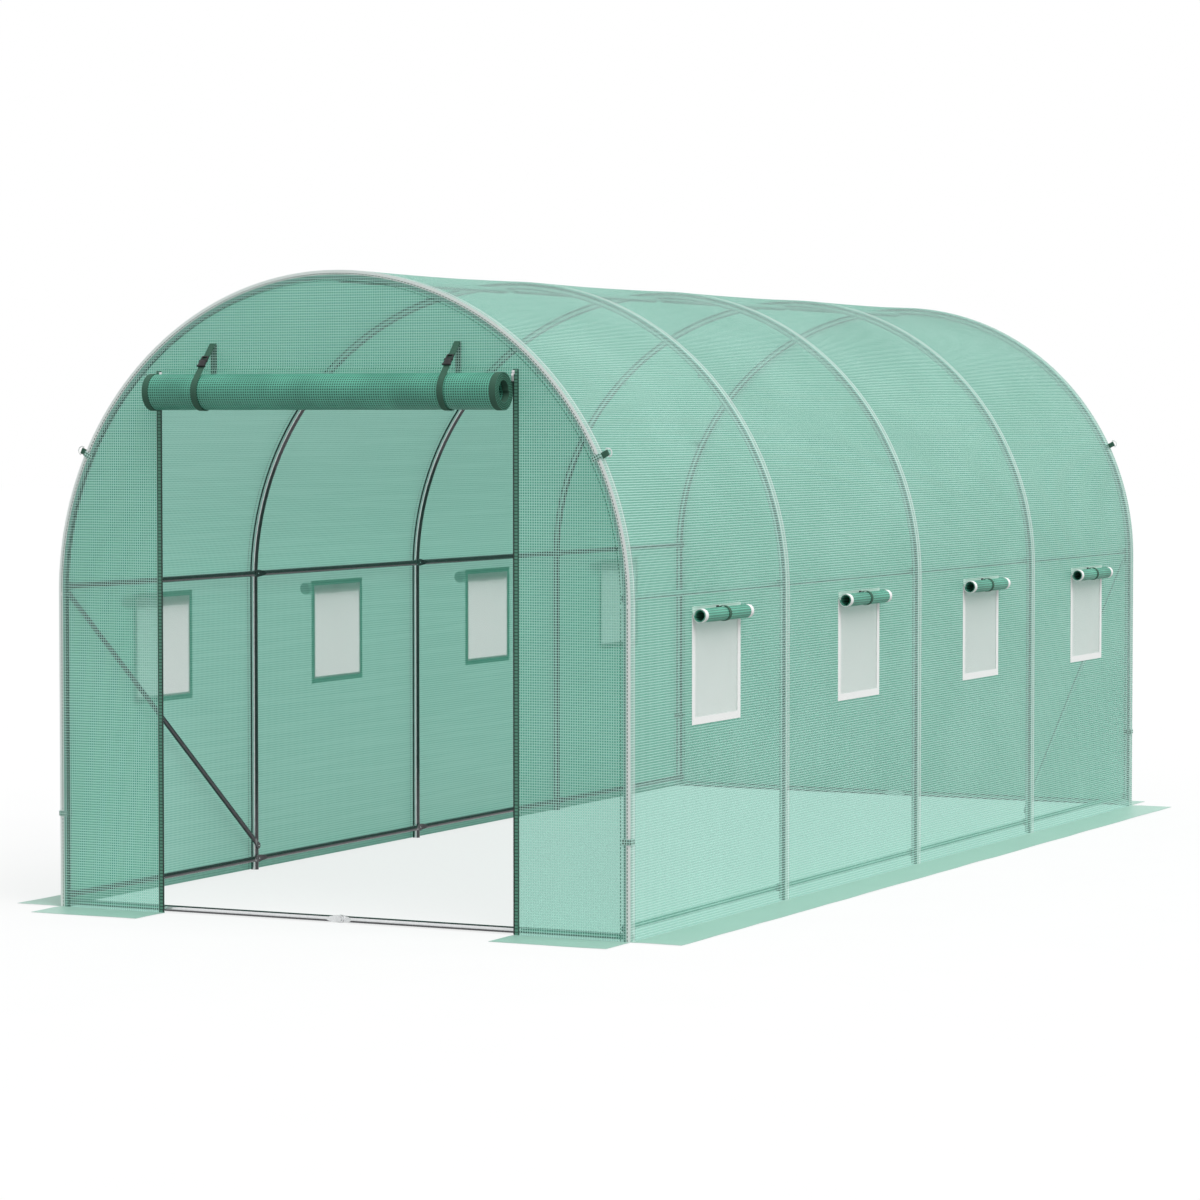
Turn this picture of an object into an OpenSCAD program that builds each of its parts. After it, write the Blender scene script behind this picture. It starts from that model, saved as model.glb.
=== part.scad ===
// Walk-in tunnel greenhouse: steel hoops under a green film cover, with a roll-up door
// in the front end and roll-up windows along both sides.
// X runs across the tunnel, Y along it with the door at -Y, and Z up from the ground.

/* [Tunnel] */
// Length over the end hoops
tunnel_l = 4500; // [3600:10:6000]
// Width over the legs of the hoops
tunnel_w = 1936; // [1800:2:2300]
// Height of the arch's crown above the head of the doorway
crown_rise = 293; // [250:1:400]

/* [Frame] */
// Diameter of the hoop tube
hoop_d = 25; // [22:0.5:32]
// Diameter of the ridge, the purlins and the base rails
rail_d = 19; // [15:0.5:22]
// Diameter of the diagonal braces
brace_d = 16; // [12:0.5:18]
// Thickness of a flattened tube end
flat_t = 2.5; // [1.5:0.1:4]
// Length over which a tube end is pressed flat
taper_l = 30; // [15:1:60]
// Height of the purlins above the springing of the arch
purlin_rise = 20; // [5:1:60]
// Height of the lower bolt of a brace
brace_foot_z = 80; // [75:1:200]
// Gap between flattened ends that sit one above the other
lug_gap = 2; // [1:0.5:6]
// Clearance between pieces that seat on each other
seat_gap = 0.3; // [0.1:0.05:0.5]

/* [Cover] */
// Thickness of the film cover
film_t = 2; // [1:0.1:3]
// Width of the skirts on the ground
skirt_w = 160; // [80:5:250]

/* [Door] */
// Width of the cover at each side of the doorway
door_side = 373; // [340:1:500]
// Height of the doorway
door_h = 1640; // [1500:5:1680]
// Diameter of the rolled-up door
door_roll_d = 110; // [80:1:130]
// Turns of the rolled-up door
door_turns = 4; // [3:1:5]
// Spacing of the turns of the rolled-up door
door_pitch = 6.2; // [3:0.1:6.5]
// Drop from the head of the doorway to the top of the roll
door_roll_drop = 8; // [4:1:30]
// Lap of the door's top edge over the front of the cover
door_lap = 20; // [10:1:30]
// Width of a zip tape
zip_w = 18; // [10:1:30]
// Thickness of a zip tape
zip_t = 1.5; // [0.8:0.1:3]
// Distance of a door strap from the edge of the doorway
strap_in = 181; // [165:1:300]
// Width of a door strap
strap_w = 20; // [15:1:25]
// Thickness of a door strap
strap_t = 2; // [1:0.1:3]
// Height of the strap's seam above the head of the doorway
strap_rise = 80; // [60:1:110]
// Length of a strap's buckle
buckle_l = 40; // [30:1:50]
// Width of a strap's buckle
buckle_w = 29; // [27:1:45]
// Thickness of a strap's buckle
buckle_t = 7; // [4:0.5:10]

/* [Windows] */
// Width of a window opening
window_w = 306; // [200:2:400]
// Height of a window opening
window_h = 306; // [200:2:340]
// Drop from the springing of the arch to the head of a window
window_drop = 43; // [40:1:100]
// How far the windows sit behind the middle of their bay
window_shift = 20; // [0:1:40]
// Width of the tape round a window
tape_w = 22; // [10:1:30]
// Thickness of the tape round a window
tape_t = 1; // [0.5:0.1:1.4]
// Thickness of the insect screen
screen_t = 1; // [0.5:0.1:1]
// Diameter of a rolled-up window flap
flap_d = 43; // [36:1:50]
// How far the middle of a rolled-up flap lies below the head of its window
flap_drop = 4; // [0:1:20]
// Turns of a rolled-up flap, in whole and half turns
flap_turns = 2; // [1.5:0.5:3]
// Spacing of the turns of a rolled-up flap
flap_pitch = 3.2; // [2.4:0.1:4]
// Height of a flap's seam above the middle of its roll
flap_rise = 26; // [24:1:34]
// Width of the sewn hem along the top of a flap
flap_hem = 8; // [5:1:10]
// Width of the tie round a flap
tie_w = 16; // [10:1:25]
// Thickness of the tie round a flap
tie_t = 1.5; // [0.8:0.1:2]
// How far a tie reaches up the wall above the middle of its flap
tie_rise = 12; // [8:1:14]
// Angle of the free end of a tie above the middle of its roll
tie_end = 80; // [45:5:90]

/* [Trim] */
// Angle of the guy loops above the springing of the arch
guy_angle = 26; // [15:1:40]
// Length of a guy loop
guy_loop_l = 20; // [12:1:30]
// Width of a guy loop
guy_loop_w = 17; // [12:1:22]
// Thickness of the webbing of a guy loop
guy_web_t = 1.5; // [1:0.1:2]
// Radius of a guy ring at the middle of its wire
guy_ring_r = 13; // [12:0.5:18]
// Diameter of the wire of a guy ring
guy_wire_d = 3.6; // [2.5:0.1:5]
// Height of the ties on the end posts
post_tie_z = 280; // [200:5:400]
// Width of the ties on the end posts
post_tie_w = 16; // [10:1:25]
// Thickness of the ties on the end posts
post_tie_t = 2; // [1:0.1:3]
// Turn of the ties round the end posts
post_tie_turn = 200; // [180:5:240]

/* [Hidden] */
$fn = 64;
arch_fn = 240;
// Overrun of a cutting shape past the face that it cuts
over = 1;
// Offset that keeps a curve from just touching a flat
graze = 0.2;

steel = "silver";
film = "mediumaquamarine";
webbing = "darkslategray";

// Frame lines: five hoops, so four bays
bays = 4;
leg_h = door_h + crown_rise - tunnel_w / 2;
purlin_z = leg_h + purlin_rise;
arch_r = (tunnel_w - hoop_d) / 2;
leg_in = tunnel_w / 2 - hoop_d;
bay_l = (tunnel_l - hoop_d) / bays;
function hoop_y(i) = -tunnel_l / 2 + hoop_d / 2 + i * bay_l;

// Flattened tube ends: the lug round the bolt, and where the tube is round again
lug_spread = 1.35;
lug_root = 0.8;
lug_edge = 0.5;
lug_past = 3;
function lug_w(d) = min(lug_spread * d, hoop_d - 2 * lug_edge);
lug_reach = hoop_d / 2 + lug_past;
round_from = lug_reach + taper_l;
lap = flat_t + seat_gap;
leg_seat = leg_in - seat_gap;
purlin_seat = sqrt(pow(leg_in, 2) - pow(purlin_rise + lug_w(rail_d) / 2, 2)) - seat_gap;
base_rail_z = lug_w(rail_d) / 2;
side_rail_z = base_rail_z + lug_w(rail_d) + lug_gap;
brace_top_z = purlin_z - (lug_w(rail_d) + lug_w(brace_d)) / 2 - lug_gap;

// Faces of the cover
wall_in = tunnel_w / 2 + seat_gap;
wall_out = wall_in + film_t;
end_in = tunnel_l / 2 + seat_gap;
end_out = end_in + film_t;
crown = leg_h + wall_out;

// Angle where a line from a point touches a circle of radius r; run leads to the point from the middle
function touch_angle(run, r, side) = atan2(run[1], run[0]) + side * acos(r / norm(run));

// Rolled-up door, its straps and their buckles, in the plane across the roll
door_w = tunnel_w - 2 * door_side;
roll_r = door_roll_d / 2;
roll_y = -(end_out + zip_t + seat_gap + roll_r);
roll_z = door_h - door_roll_drop - roll_r;
strap_x = door_w / 2 - strap_in;
strap_r = roll_r + seat_gap + strap_t / 2;
seam = [-end_out - seat_gap - strap_t / 2, door_h + strap_rise];
door_head = [-end_in + 2 * seat_gap + strap_t / 2, door_h];
strap_lean = touch_angle(seam - [roll_y, roll_z], strap_r, 1);
strap_back = touch_angle(door_head - [roll_y, roll_z], strap_r, -1);
function on_strap(angle) = [roll_y, roll_z] + strap_r * [cos(angle), sin(angle)];
strap_foot = on_strap(strap_lean);
strap_slope = atan2(seam[1] - strap_foot[1], seam[0] - strap_foot[0]);
buckle_at = 0.46;
socket_l = 0.6 * buckle_l;
plug_t = 0.7 * buckle_t;
finger_r = 0.2 * socket_l;
slot_l = 0.1 * buckle_l;
slot_w = 0.8 * strap_w;

// Angle where a tie round a front right post begins, so that it turns about the post's inner side
post_tie_from = 135 - post_tie_turn / 2;

// Rolled-up window flaps and their ties
window_head_z = leg_h - window_drop;
window_sill_z = window_head_z - window_h;
flap_r = flap_d / 2;
flap_l = window_w + 2 * tape_w;
tie_r = flap_r + seat_gap + tie_t;
flap_x = wall_out + seat_gap + graze + tie_r;
flap_z = window_head_z - flap_drop;
function window_y(i) = hoop_y(i) + bay_l / 2 + window_shift;

// A bar of thickness t between two points of a drawing
module bar(from, to, t) {
    run = to - from;
    translate(from) rotate(atan2(run[1], run[0])) translate([0, -t / 2]) square([norm(run), t]);
}

// Stands a drawing in the plane across the tunnel's width, with its depth along X
module along_x(depth) {
    rotate([90, 0, 90]) linear_extrude(depth) children();
}

// Stands a drawing of an end of the tunnel, with its depth towards -Y
module along_y(depth) {
    rotate([90, 0, 0]) linear_extrude(depth) children();
}

// Part of a flat ring of thickness t outside radius r, about Z
module band(r, t, from, sweep, w) {
    rotate([0, 0, from]) rotate_extrude(angle = sweep) translate([r, 0]) square([t, w]);
}

// Sheet of length l wound about Z, in half turns about two centres, so that each turn clears the last.
// Its outer end is at angle 0, where the sheet comes down to the roll.
module wound_sheet(r, turns, pitch, l) {
    for (k = [0 : 2 * turns - 1]) {
        upper = k % 2;
        translate([-upper * pitch / 2, 0, 0])
            band(r - k * pitch / 2 - film_t, film_t, 180 - 180 * upper, 180, l);
    }
}

// Builds on the right wall, or mirrored on the left one
module on_wall(side) {
    mirror([side < 0 ? 1 : 0, 0, 0]) children();
}

// Repeats a piece at the four corners of the tunnel
module at_corners() {
    for (turn = [0, 1], side = [0, 1])
        mirror([0, turn, 0]) mirror([side, 0, 0]) children();
}

// One bent hoop: two straight legs and a half-round arch
module hoop(i) {
    color(steel) translate([0, hoop_y(i), 0]) {
        for (side = [-1, 1])
            translate([side * arch_r, 0, 0]) cylinder(d = hoop_d, h = leg_h);
        translate([0, 0, leg_h]) rotate([90, 0, 0])
            rotate_extrude(angle = 180) translate([arch_r, 0]) circle(d = hoop_d);
    }
}

// Flat lug of a tube end, round its bolt
module lug(d) {
    root = lug_root * d / 2;
    along_x(flat_t) {
        circle(d = lug_w(d));
        polygon([[0, -lug_w(d) / 2], [round_from, -root], [round_from, root], [0, lug_w(d) / 2]]);
    }
}

// Tube along Y between two bolts, with both ends pressed flat against x = 0.
// The far end stands off by rise, to lap over the next tube's end.
module lapped_tube(span, d, rise) {
    mid = flat_t / 2;
    full = d / 2 + over;
    rotate([0, 0, -asin(rise / span)]) {
        intersection() {
            translate([mid, lug_reach, 0]) rotate([-90, 0, 0]) cylinder(d = d, h = span - 2 * lug_reach);
            translate([0, 0, -d]) linear_extrude(2 * d)
                polygon([[0, lug_reach], [flat_t, lug_reach],
                    [mid + full, round_from], [mid + full, span - round_from],
                    [flat_t, span - lug_reach], [0, span - lug_reach],
                    [mid - full, span - round_from], [mid - full, round_from]]);
        }
        for (end = [0, 1])
            translate([0, end * span, 0]) rotate([180 * end, 0, 0]) lug(d);
    }
}

// A run of tubes from hoop to hoop, each lapped over the start of the next
module bay_tubes() {
    for (i = [0 : bays - 1])
        translate([0, hoop_y(i), 0]) lapped_tube(bay_l, rail_d, i < bays - 1 ? lap : 0);
}

module ridge_beam() {
    color(steel) translate([0, 0, leg_h + tunnel_w / 2 - hoop_d - seat_gap])
        rotate([0, 90, 0]) bay_tubes();
}

// Run of tubes on the inner side of one row of hoops, at the given distance from the middle
module wall_run(side, seat, z) {
    color(steel) on_wall(-side) translate([-seat, 0, z]) bay_tubes();
}

// Two half rails across one end, lapped in the middle
module end_run() {
    color(steel) translate([0, -tunnel_l / 2 + hoop_d + seat_gap, base_rail_z]) {
        translate([arch_r, 0, 0]) rotate([0, 0, 90]) lapped_tube(arch_r, rail_d, lap);
        rotate([0, 0, 90]) lapped_tube(arch_r, rail_d, 0);
    }
}

// Diagonal tube in the first bay of the left wall
module brace() {
    run = [bay_l, brace_foot_z - brace_top_z];
    color(steel) translate([-leg_seat, hoop_y(0), brace_top_z])
        rotate([atan2(run[1], run[0]), 0, 0]) lapped_tube(norm(run), brace_d, 0);
}

module roof_cover() {
    color(film) translate([0, end_in, leg_h]) along_y(2 * end_in)
        intersection() {
            difference() {
                circle(r = wall_out, $fn = arch_fn);
                circle(r = wall_in, $fn = arch_fn);
            }
            translate([-wall_out - over, 0]) square([2 * (wall_out + over), wall_out + over]);
        }
}

// Side wall of the cover, with its windows cut through
module wall_cover(side) {
    color(film) on_wall(side) difference() {
        translate([wall_in, -end_in, 0]) cube([film_t, 2 * end_in, leg_h]);
        for (i = [0 : bays - 1])
            translate([wall_in - over, window_y(i) - window_w / 2, window_sill_z])
                cube([film_t + 2 * over, window_w, window_h]);
    }
}

// Outline of an end of the cover
module end_outline() {
    translate([-wall_out, 0]) square([2 * wall_out, leg_h]);
    translate([0, leg_h]) intersection() {
        circle(r = wall_out, $fn = arch_fn);
        translate([-wall_out - over, 0]) square([2 * (wall_out + over), wall_out + over]);
    }
}

// Part of the front end of the cover, right of x and above z, of the given width
module front_part(x, z, w) {
    color(film) translate([0, -end_in, 0]) along_y(film_t) intersection() {
        end_outline();
        translate([x, z]) square([w, crown + over]);
    }
}

module rear_panel() {
    color(film) translate([0, end_out, 0]) along_y(film_t) end_outline();
}

// Skirt lying on the ground, from one corner
module skirt(x, y, w, l) {
    color(film) translate([x, y, 0]) cube([w, l, film_t]);
}

// Door wound up under its head, with its top edge sewn to the front of the cover
module door_roll() {
    back = roll_r - film_t;
    color("seagreen") translate([-door_w / 2, roll_y, roll_z]) rotate([90, 0, 90]) {
        wound_sheet(roll_r, door_turns, door_pitch, door_w);
        translate([back, 0, 0]) cube([film_t, door_h + door_lap - roll_z, door_w]);
        translate([back, door_h - roll_z + door_lap / 2, 0]) cube([film_t + zip_t, door_lap / 2, door_w]);
    }
}

// Back of a strap: a bar off the roll to the head of the doorway, mitred into one up the cover's inside
module strap_rise_bar() {
    lean = [cos(strap_back), sin(strap_back)];
    level = [1, 0];
    edge = strap_t / 2 * level;
    mitre = strap_t / 2 * (lean + level) / (1 + lean * level);
    low = on_strap(strap_back);
    low_edge = strap_t / 2 * lean;
    top = [door_head[0], seam[1]];
    polygon([low + low_edge, door_head + mitre, top + edge, top - edge, door_head - mitre, low - low_edge]);
}

// Strap from its seam over the front of the roll, round below it, and up inside the door head
module door_strap() {
    translate([-strap_w / 2, 0, 0]) {
        along_x(strap_w) {
            bar(strap_foot, seam, strap_t);
            strap_rise_bar();
        }
        translate([0, roll_y, roll_z]) rotate([90, 0, 90])
            band(strap_r - strap_t / 2, strap_t, strap_lean, 360 + strap_back - strap_lean, strap_w);
    }
}

module door_straps() {
    color(webbing) for (side = [-1, 1])
        translate([side * strap_x, 0, 0]) door_strap();
}

// Side-release buckle on the slanted stretch of a strap: the socket with its two finger openings,
// and the plug with its bar for the webbing
module door_buckle() {
    middle = strap_foot + buckle_at * (seam - strap_foot);
    translate([0, middle[0], middle[1]]) rotate([strap_slope, 0, 0])
        translate([0, -buckle_l / 2, strap_t / 2 + seat_gap]) difference() {
            union() {
                translate([-buckle_w / 2, 0, 0]) cube([buckle_w, socket_l, buckle_t]);
                translate([-strap_w / 2, 0, 0]) cube([strap_w, buckle_l, plug_t]);
            }
            for (side = [-1, 1])
                translate([side * buckle_w / 2, socket_l / 2, -over])
                    cylinder(r = finger_r, h = buckle_t + 2 * over);
            translate([-slot_w / 2, buckle_l - 2 * slot_l, -over]) cube([slot_w, slot_l, buckle_t]);
        }
}

module door_buckles() {
    color("black") for (side = [-1, 1])
        translate([side * strap_x, 0, 0]) door_buckle();
}

// Zip tape up one edge of the doorway
module zip(side) {
    color(webbing) on_wall(side) translate([door_w / 2, -end_out - zip_t, film_t])
        cube([zip_w, zip_t, door_h - film_t]);
}

// Repeats a piece of the right wall at every window of one wall
module at_windows(side) {
    on_wall(side) for (i = [0 : bays - 1])
        translate([0, window_y(i), 0]) children();
}

module window_screens(side) {
    color("gainsboro") at_windows(side)
        translate([wall_in, -window_w / 2, window_sill_z]) cube([screen_t, window_w, window_h]);
}

// Tape along both sides and the foot of a window
module window_tapes(side) {
    color("white") at_windows(side) translate([wall_out, 0, window_sill_z]) along_x(tape_t)
        difference() {
            translate([-window_w / 2 - tape_w, -tape_w]) square([window_w + 2 * tape_w, window_h + tape_w]);
            translate([-window_w / 2, 0]) square([window_w, window_h + over]);
        }
}

// Flap wound up over its window, with its top edge sewn to the wall
module window_flaps(side) {
    back = flap_r - film_t;
    color("seagreen") at_windows(side) translate([flap_x, -flap_l / 2, flap_z]) rotate([90, 0, 180]) {
        wound_sheet(flap_r, flap_turns, flap_pitch, flap_l);
        translate([back, 0, 0]) cube([film_t, flap_rise, flap_l]);
        translate([back, flap_rise - flap_hem, 0]) cube([flap_x - wall_out - back, flap_hem, flap_l]);
    }
}

// Tie under a rolled-up flap, sewn to the wall behind it
module window_ties(side) {
    color(webbing) at_windows(side) translate([flap_x, tie_w / 2, flap_z]) {
        rotate([90, 0, 0]) band(tie_r - tie_t, tie_t, -180, 180 + tie_end, tie_w);
        translate([-tie_r, -tie_w, 0]) cube([tie_t, tie_w, tie_rise]);
    }
}

// Places a piece on the arch at a corner, with X pointing out of the cover
module on_guy_line() {
    at_corners() translate([0, hoop_y(0), leg_h]) rotate([0, -guy_angle, 0])
        translate([wall_out + seat_gap, 0, 0]) children();
}

// Webbing folded round the bar of the guy ring
module guy_loops() {
    eye_r = guy_wire_d / 2 + seat_gap;
    color(webbing) on_guy_line() translate([0, 0, -guy_loop_w / 2]) linear_extrude(guy_loop_w)
        difference() {
            union() {
                translate([0, -eye_r - guy_web_t]) square([guy_loop_l, 2 * (eye_r + guy_web_t)]);
                translate([guy_loop_l, 0]) circle(r = eye_r + guy_web_t);
            }
            translate([guy_loop_l, 0]) circle(r = eye_r);
        }
}

module guy_rings() {
    bar_d = guy_wire_d - graze;
    color("whitesmoke") on_guy_line() translate([guy_loop_l, 0, 0]) rotate([90, 0, 0]) {
        rotate([0, 0, -90]) rotate_extrude(angle = 180) translate([guy_ring_r, 0]) circle(d = guy_wire_d);
        rotate([90, 0, 0]) translate([0, 0, -guy_ring_r]) cylinder(d = bar_d, h = 2 * guy_ring_r);
    }
}

// Ties that hold the cover to the end posts, round the inner side of each
module post_ties() {
    color(webbing) at_corners() translate([arch_r, hoop_y(0), post_tie_z])
        rotate([0, 0, post_tie_from]) rotate_extrude(angle = post_tie_turn)
            translate([hoop_d / 2 + seat_gap, 0]) square([post_tie_t, post_tie_w]);
}

for (i = [0 : bays])
    hoop(i);
ridge_beam();
wall_run(-1, purlin_seat, purlin_z);  // purlin_left
wall_run(1, purlin_seat, purlin_z);  // purlin_right
wall_run(-1, leg_seat, side_rail_z);  // base_rail_left
wall_run(1, leg_seat, side_rail_z);  // base_rail_right
end_run();  // base_rail_front
mirror([0, 1, 0]) end_run();  // base_rail_rear
brace();  // brace_front_left
rotate([0, 0, 180]) brace();  // brace_rear_right
roof_cover();
wall_cover(-1);  // left_wall
wall_cover(1);  // right_wall
front_part(-wall_out, 0, wall_out - door_w / 2);  // front_panel_left
front_part(door_w / 2, 0, wall_out - door_w / 2);  // front_panel_right
front_part(-door_w / 2, door_h, door_w);  // front_panel_top
rear_panel();
skirt(-wall_out - skirt_w, -tunnel_l / 2, skirt_w, tunnel_l);  // skirt_left
skirt(wall_out, -tunnel_l / 2, skirt_w, tunnel_l);  // skirt_right
skirt(-wall_out, -end_out - skirt_w, wall_out - door_w / 2, skirt_w);  // skirt_front_left
skirt(door_w / 2, -end_out - skirt_w, wall_out - door_w / 2, skirt_w);  // skirt_front_right
skirt(-wall_out, end_out, 2 * wall_out, skirt_w);  // skirt_rear
door_roll();
door_straps();
door_buckles();
zip(-1);  // zip_left
zip(1);  // zip_right
window_screens(-1);  // window_screens_left
window_screens(1);  // window_screens_right
window_tapes(-1);  // window_tapes_left
window_tapes(1);  // window_tapes_right
window_flaps(-1);  // window_flaps_left
window_flaps(1);  // window_flaps_right
window_ties(-1);  // window_ties_left
window_ties(1);  // window_ties_right
guy_loops();
guy_rings();
post_ties();
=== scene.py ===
"""Tunnel greenhouse: film cover, rolled-up door and windows, trim and steel, built on the packed parts."""

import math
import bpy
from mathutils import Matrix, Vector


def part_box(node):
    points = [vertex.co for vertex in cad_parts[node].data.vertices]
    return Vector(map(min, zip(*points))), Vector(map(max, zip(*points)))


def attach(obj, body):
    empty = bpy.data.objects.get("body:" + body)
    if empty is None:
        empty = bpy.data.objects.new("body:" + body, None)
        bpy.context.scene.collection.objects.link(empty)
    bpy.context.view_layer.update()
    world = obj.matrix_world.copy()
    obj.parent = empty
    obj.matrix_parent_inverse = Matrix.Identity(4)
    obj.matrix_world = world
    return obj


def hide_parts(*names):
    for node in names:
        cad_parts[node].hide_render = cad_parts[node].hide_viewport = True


bl_info = {
    "name": "Tunnel Greenhouse",
    "version": (1, 0, 0),
    "blender": (4, 5, 0),
    "location": "View3D > Sidebar > Greenhouse",
    "description": "Builds the film, webbing, fixings and finishes of a tunnel greenhouse round its frame",
    "category": "Add Mesh",
}

import bmesh
import bpy
from bpy.props import FloatProperty, FloatVectorProperty, IntProperty, PointerProperty
from bpy.types import Operator, Panel, PropertyGroup
from mathutils import Matrix, Vector, noise

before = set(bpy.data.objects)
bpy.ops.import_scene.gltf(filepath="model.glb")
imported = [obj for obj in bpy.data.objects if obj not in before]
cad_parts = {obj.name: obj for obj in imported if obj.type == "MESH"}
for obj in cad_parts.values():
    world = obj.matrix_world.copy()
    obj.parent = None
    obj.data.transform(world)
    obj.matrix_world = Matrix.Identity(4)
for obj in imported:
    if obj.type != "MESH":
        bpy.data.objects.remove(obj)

# Directions, sides and fixed measures in metres
BODY = "root"
ACROSS = Vector((1, 0, 0))
ALONG = Vector((0, 1, 0))
UP = Vector((0, 0, 1))
SIDES = {"left": -1, "right": 1}
SEAT_GAP = 0.0003  # between webbing and what it goes round
END_STEP = 0.045  # spacing of the mesh in the ends
SKIRT_STEP = 0.04  # spacing of the mesh in the skirts
SKIRT_LIFT = 0.0004  # a skirt's underside above the ground
CRISP_ANGLE = math.radians(35)  # edges that turn more than this stay crisp


def middle(node):
    """The middle of a packed part's box."""
    low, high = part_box(node)
    return (low + high) / 2


# Places read from the packed parts
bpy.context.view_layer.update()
HOOP_Y = [middle(f"hoop_{i}").y for i in range(1, 6)]
BAY = HOOP_Y[1] - HOOP_Y[0]
TUBE_R = (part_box("hoop_1")[1].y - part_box("hoop_1")[0].y) / 2
ARCH_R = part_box("hoop_1")[1].x - TUBE_R
LEG_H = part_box("roof_cover")[0].z
HALF_W = middle("right_wall").x
WALL_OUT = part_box("right_wall")[1].x
FRONT_Y = middle("front_panel_top").y
FRONT_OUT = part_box("front_panel_top")[0].y
REAR_Y = middle("rear_panel").y
DOOR_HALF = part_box("front_panel_right")[0].x
DOOR_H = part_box("front_panel_top")[0].z
SILL_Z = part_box("window_screens_right")[0].z
HEAD_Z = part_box("window_screens_right")[1].z
WINDOW_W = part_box("window_screens_right")[1].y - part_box("window_screens_right")[0].y - 3 * BAY
WINDOW_Y = [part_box("window_screens_right")[0].y + WINDOW_W / 2 + i * BAY for i in range(4)]
STEEL_NODES = {
    "zinc_hoop": [f"hoop_{i}" for i in range(1, 6)],
    "zinc_tube": ["ridge_beam", "purlin_left", "purlin_right", "base_rail_left", "base_rail_right",
                  "brace_front_left", "brace_rear_right"],
    "zinc_rail": ["base_rail_front", "base_rail_rear"],
}


def length(name, description, default):
    """A length setting in metres."""
    return FloatProperty(name=name, description=description, default=default, min=0.0, subtype="DISTANCE",
                         unit="LENGTH", precision=4)


def share(name, description, default):
    """A setting from 0 to 1."""
    return FloatProperty(name=name, description=description, default=default, min=0.0, max=1.0,
                         subtype="FACTOR")


def angle(name, description, degrees):
    """An angle setting."""
    return FloatProperty(name=name, description=description, default=math.radians(degrees), subtype="ANGLE",
                         unit="ROTATION")


def amount(name, description, default):
    """A setting of 0 or more that has no unit."""
    return FloatProperty(name=name, description=description, default=default, min=0.0)


def colour(name, description, default):
    """A colour setting."""
    return FloatVectorProperty(name=name, description=description, default=default, size=3, min=0.0, max=1.0,
                               subtype="COLOR")


class FilmSettings(PropertyGroup):
    """The woven film of the cover, the ends and the skirts."""

    thread: colour("Thread", "Colour of the film's threads", (0.58, 0.93, 0.83))
    cell: colour("Cell", "Colour of the film between its threads", (0.23, 0.60, 0.50))
    # Painted highlight: the pale colour painted on the film over a hoop, standing in for the lit tube seen
    # through it.
    hoop_highlight: colour("Contact", "Colour of the film where it lies on a hoop", (0.97, 1.0, 0.985))
    tint: colour("Tint", "Colour of the light that passes straight through the film", (0.40, 0.68, 0.59))
    thread_cover: share("Thread Cover", "How much a thread hides what lies behind it", 0.68)
    cell_cover: share("Cell Cover", "How much the film between threads hides what lies behind it", 0.08)
    inner_cover: share("Inner Cover", "How much the film's milky inner side hides what lies behind it", 0.72)
    glow: share("Glow", "How much of the film's own colour comes from light behind it", 0.15)
    slub: share("Slub", "How much thicker and paler threads vary from row to row", 0.35)
    pitch: length("Thread Pitch", "Distance from thread to thread", 0.0077)
    thread_share: share("Thread Share", "Part of the pitch that a thread takes up", 0.34)
    roof_sag: length("Roof Sag", "How far the roof film sinks half way between two hoops", 0.004)
    roof_ripple: length("Roof Ripple", "Height of the small waves in the roof film", 0.0012)
    end_wave: length("End Wave", "Depth of the soft folds in the film of the ends", 0.0025)
    step: length("Mesh Step", "Spacing of the mesh in the cover", 0.028)
    skirt: colour("Skirt", "Colour of the skirts", (0.30, 0.51, 0.43))
    skirt_thread: colour("Skirt Thread", "Colour of the skirts' threads", (0.40, 0.60, 0.52))
    skirt_wave: length("Skirt Wave", "Height of the waves in a skirt on the ground", 0.0018)
    skirt_t: length("Skirt Thickness", "Thickness of a skirt", 0.0006)


class DoorSettings(PropertyGroup):
    """The rolled-up door with its straps, buckles and zips."""

    roll_r: length("Roll Radius", "Radius of the rolled-up door", 0.055)
    half_turns: IntProperty(name="Half Turns", description="Half turns of the wound door", default=8, min=4)
    roll_pitch: length("Turn Pitch", "Spacing of the turns of the wound door", 0.0062)
    film_t: length("Film Thickness", "Thickness of a layer of the wound door", 0.0009)
    binding_w: length("Binding Width", "Width of the dark binding at each end of the roll", 0.020)
    binding_t: length("Binding Thickness", "Thickness of the binding round a layer", 0.0048)
    pinch: length("Strap Pinch", "How far a strap draws the roll in", 0.0022)
    strap_w: length("Strap Width", "Width of a strap round the roll", 0.020)
    strap_t: length("Strap Thickness", "Thickness of a strap round the roll", 0.002)
    zip_w: length("Zip Width", "Width of a zip tape", 0.018)
    tooth_pitch: length("Tooth Pitch", "Spacing of the turns of a zip's coil", 0.003)
    rolled: colour("Rolled Film", "Colour of the wound film between its threads", (0.004, 0.095, 0.058))
    rolled_thread: colour("Rolled Thread", "Colour of the threads of the wound film", (0.22, 0.72, 0.54))
    webbing: colour("Webbing", "Colour of the straps, ties and loops", (0.035, 0.095, 0.065))
    zip_tape: colour("Zip Tape", "Colour of the zip tapes", (0.028, 0.085, 0.06))
    plastic: colour("Buckle Plastic", "Colour of the buckles and toggles", (0.012, 0.012, 0.013))


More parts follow.
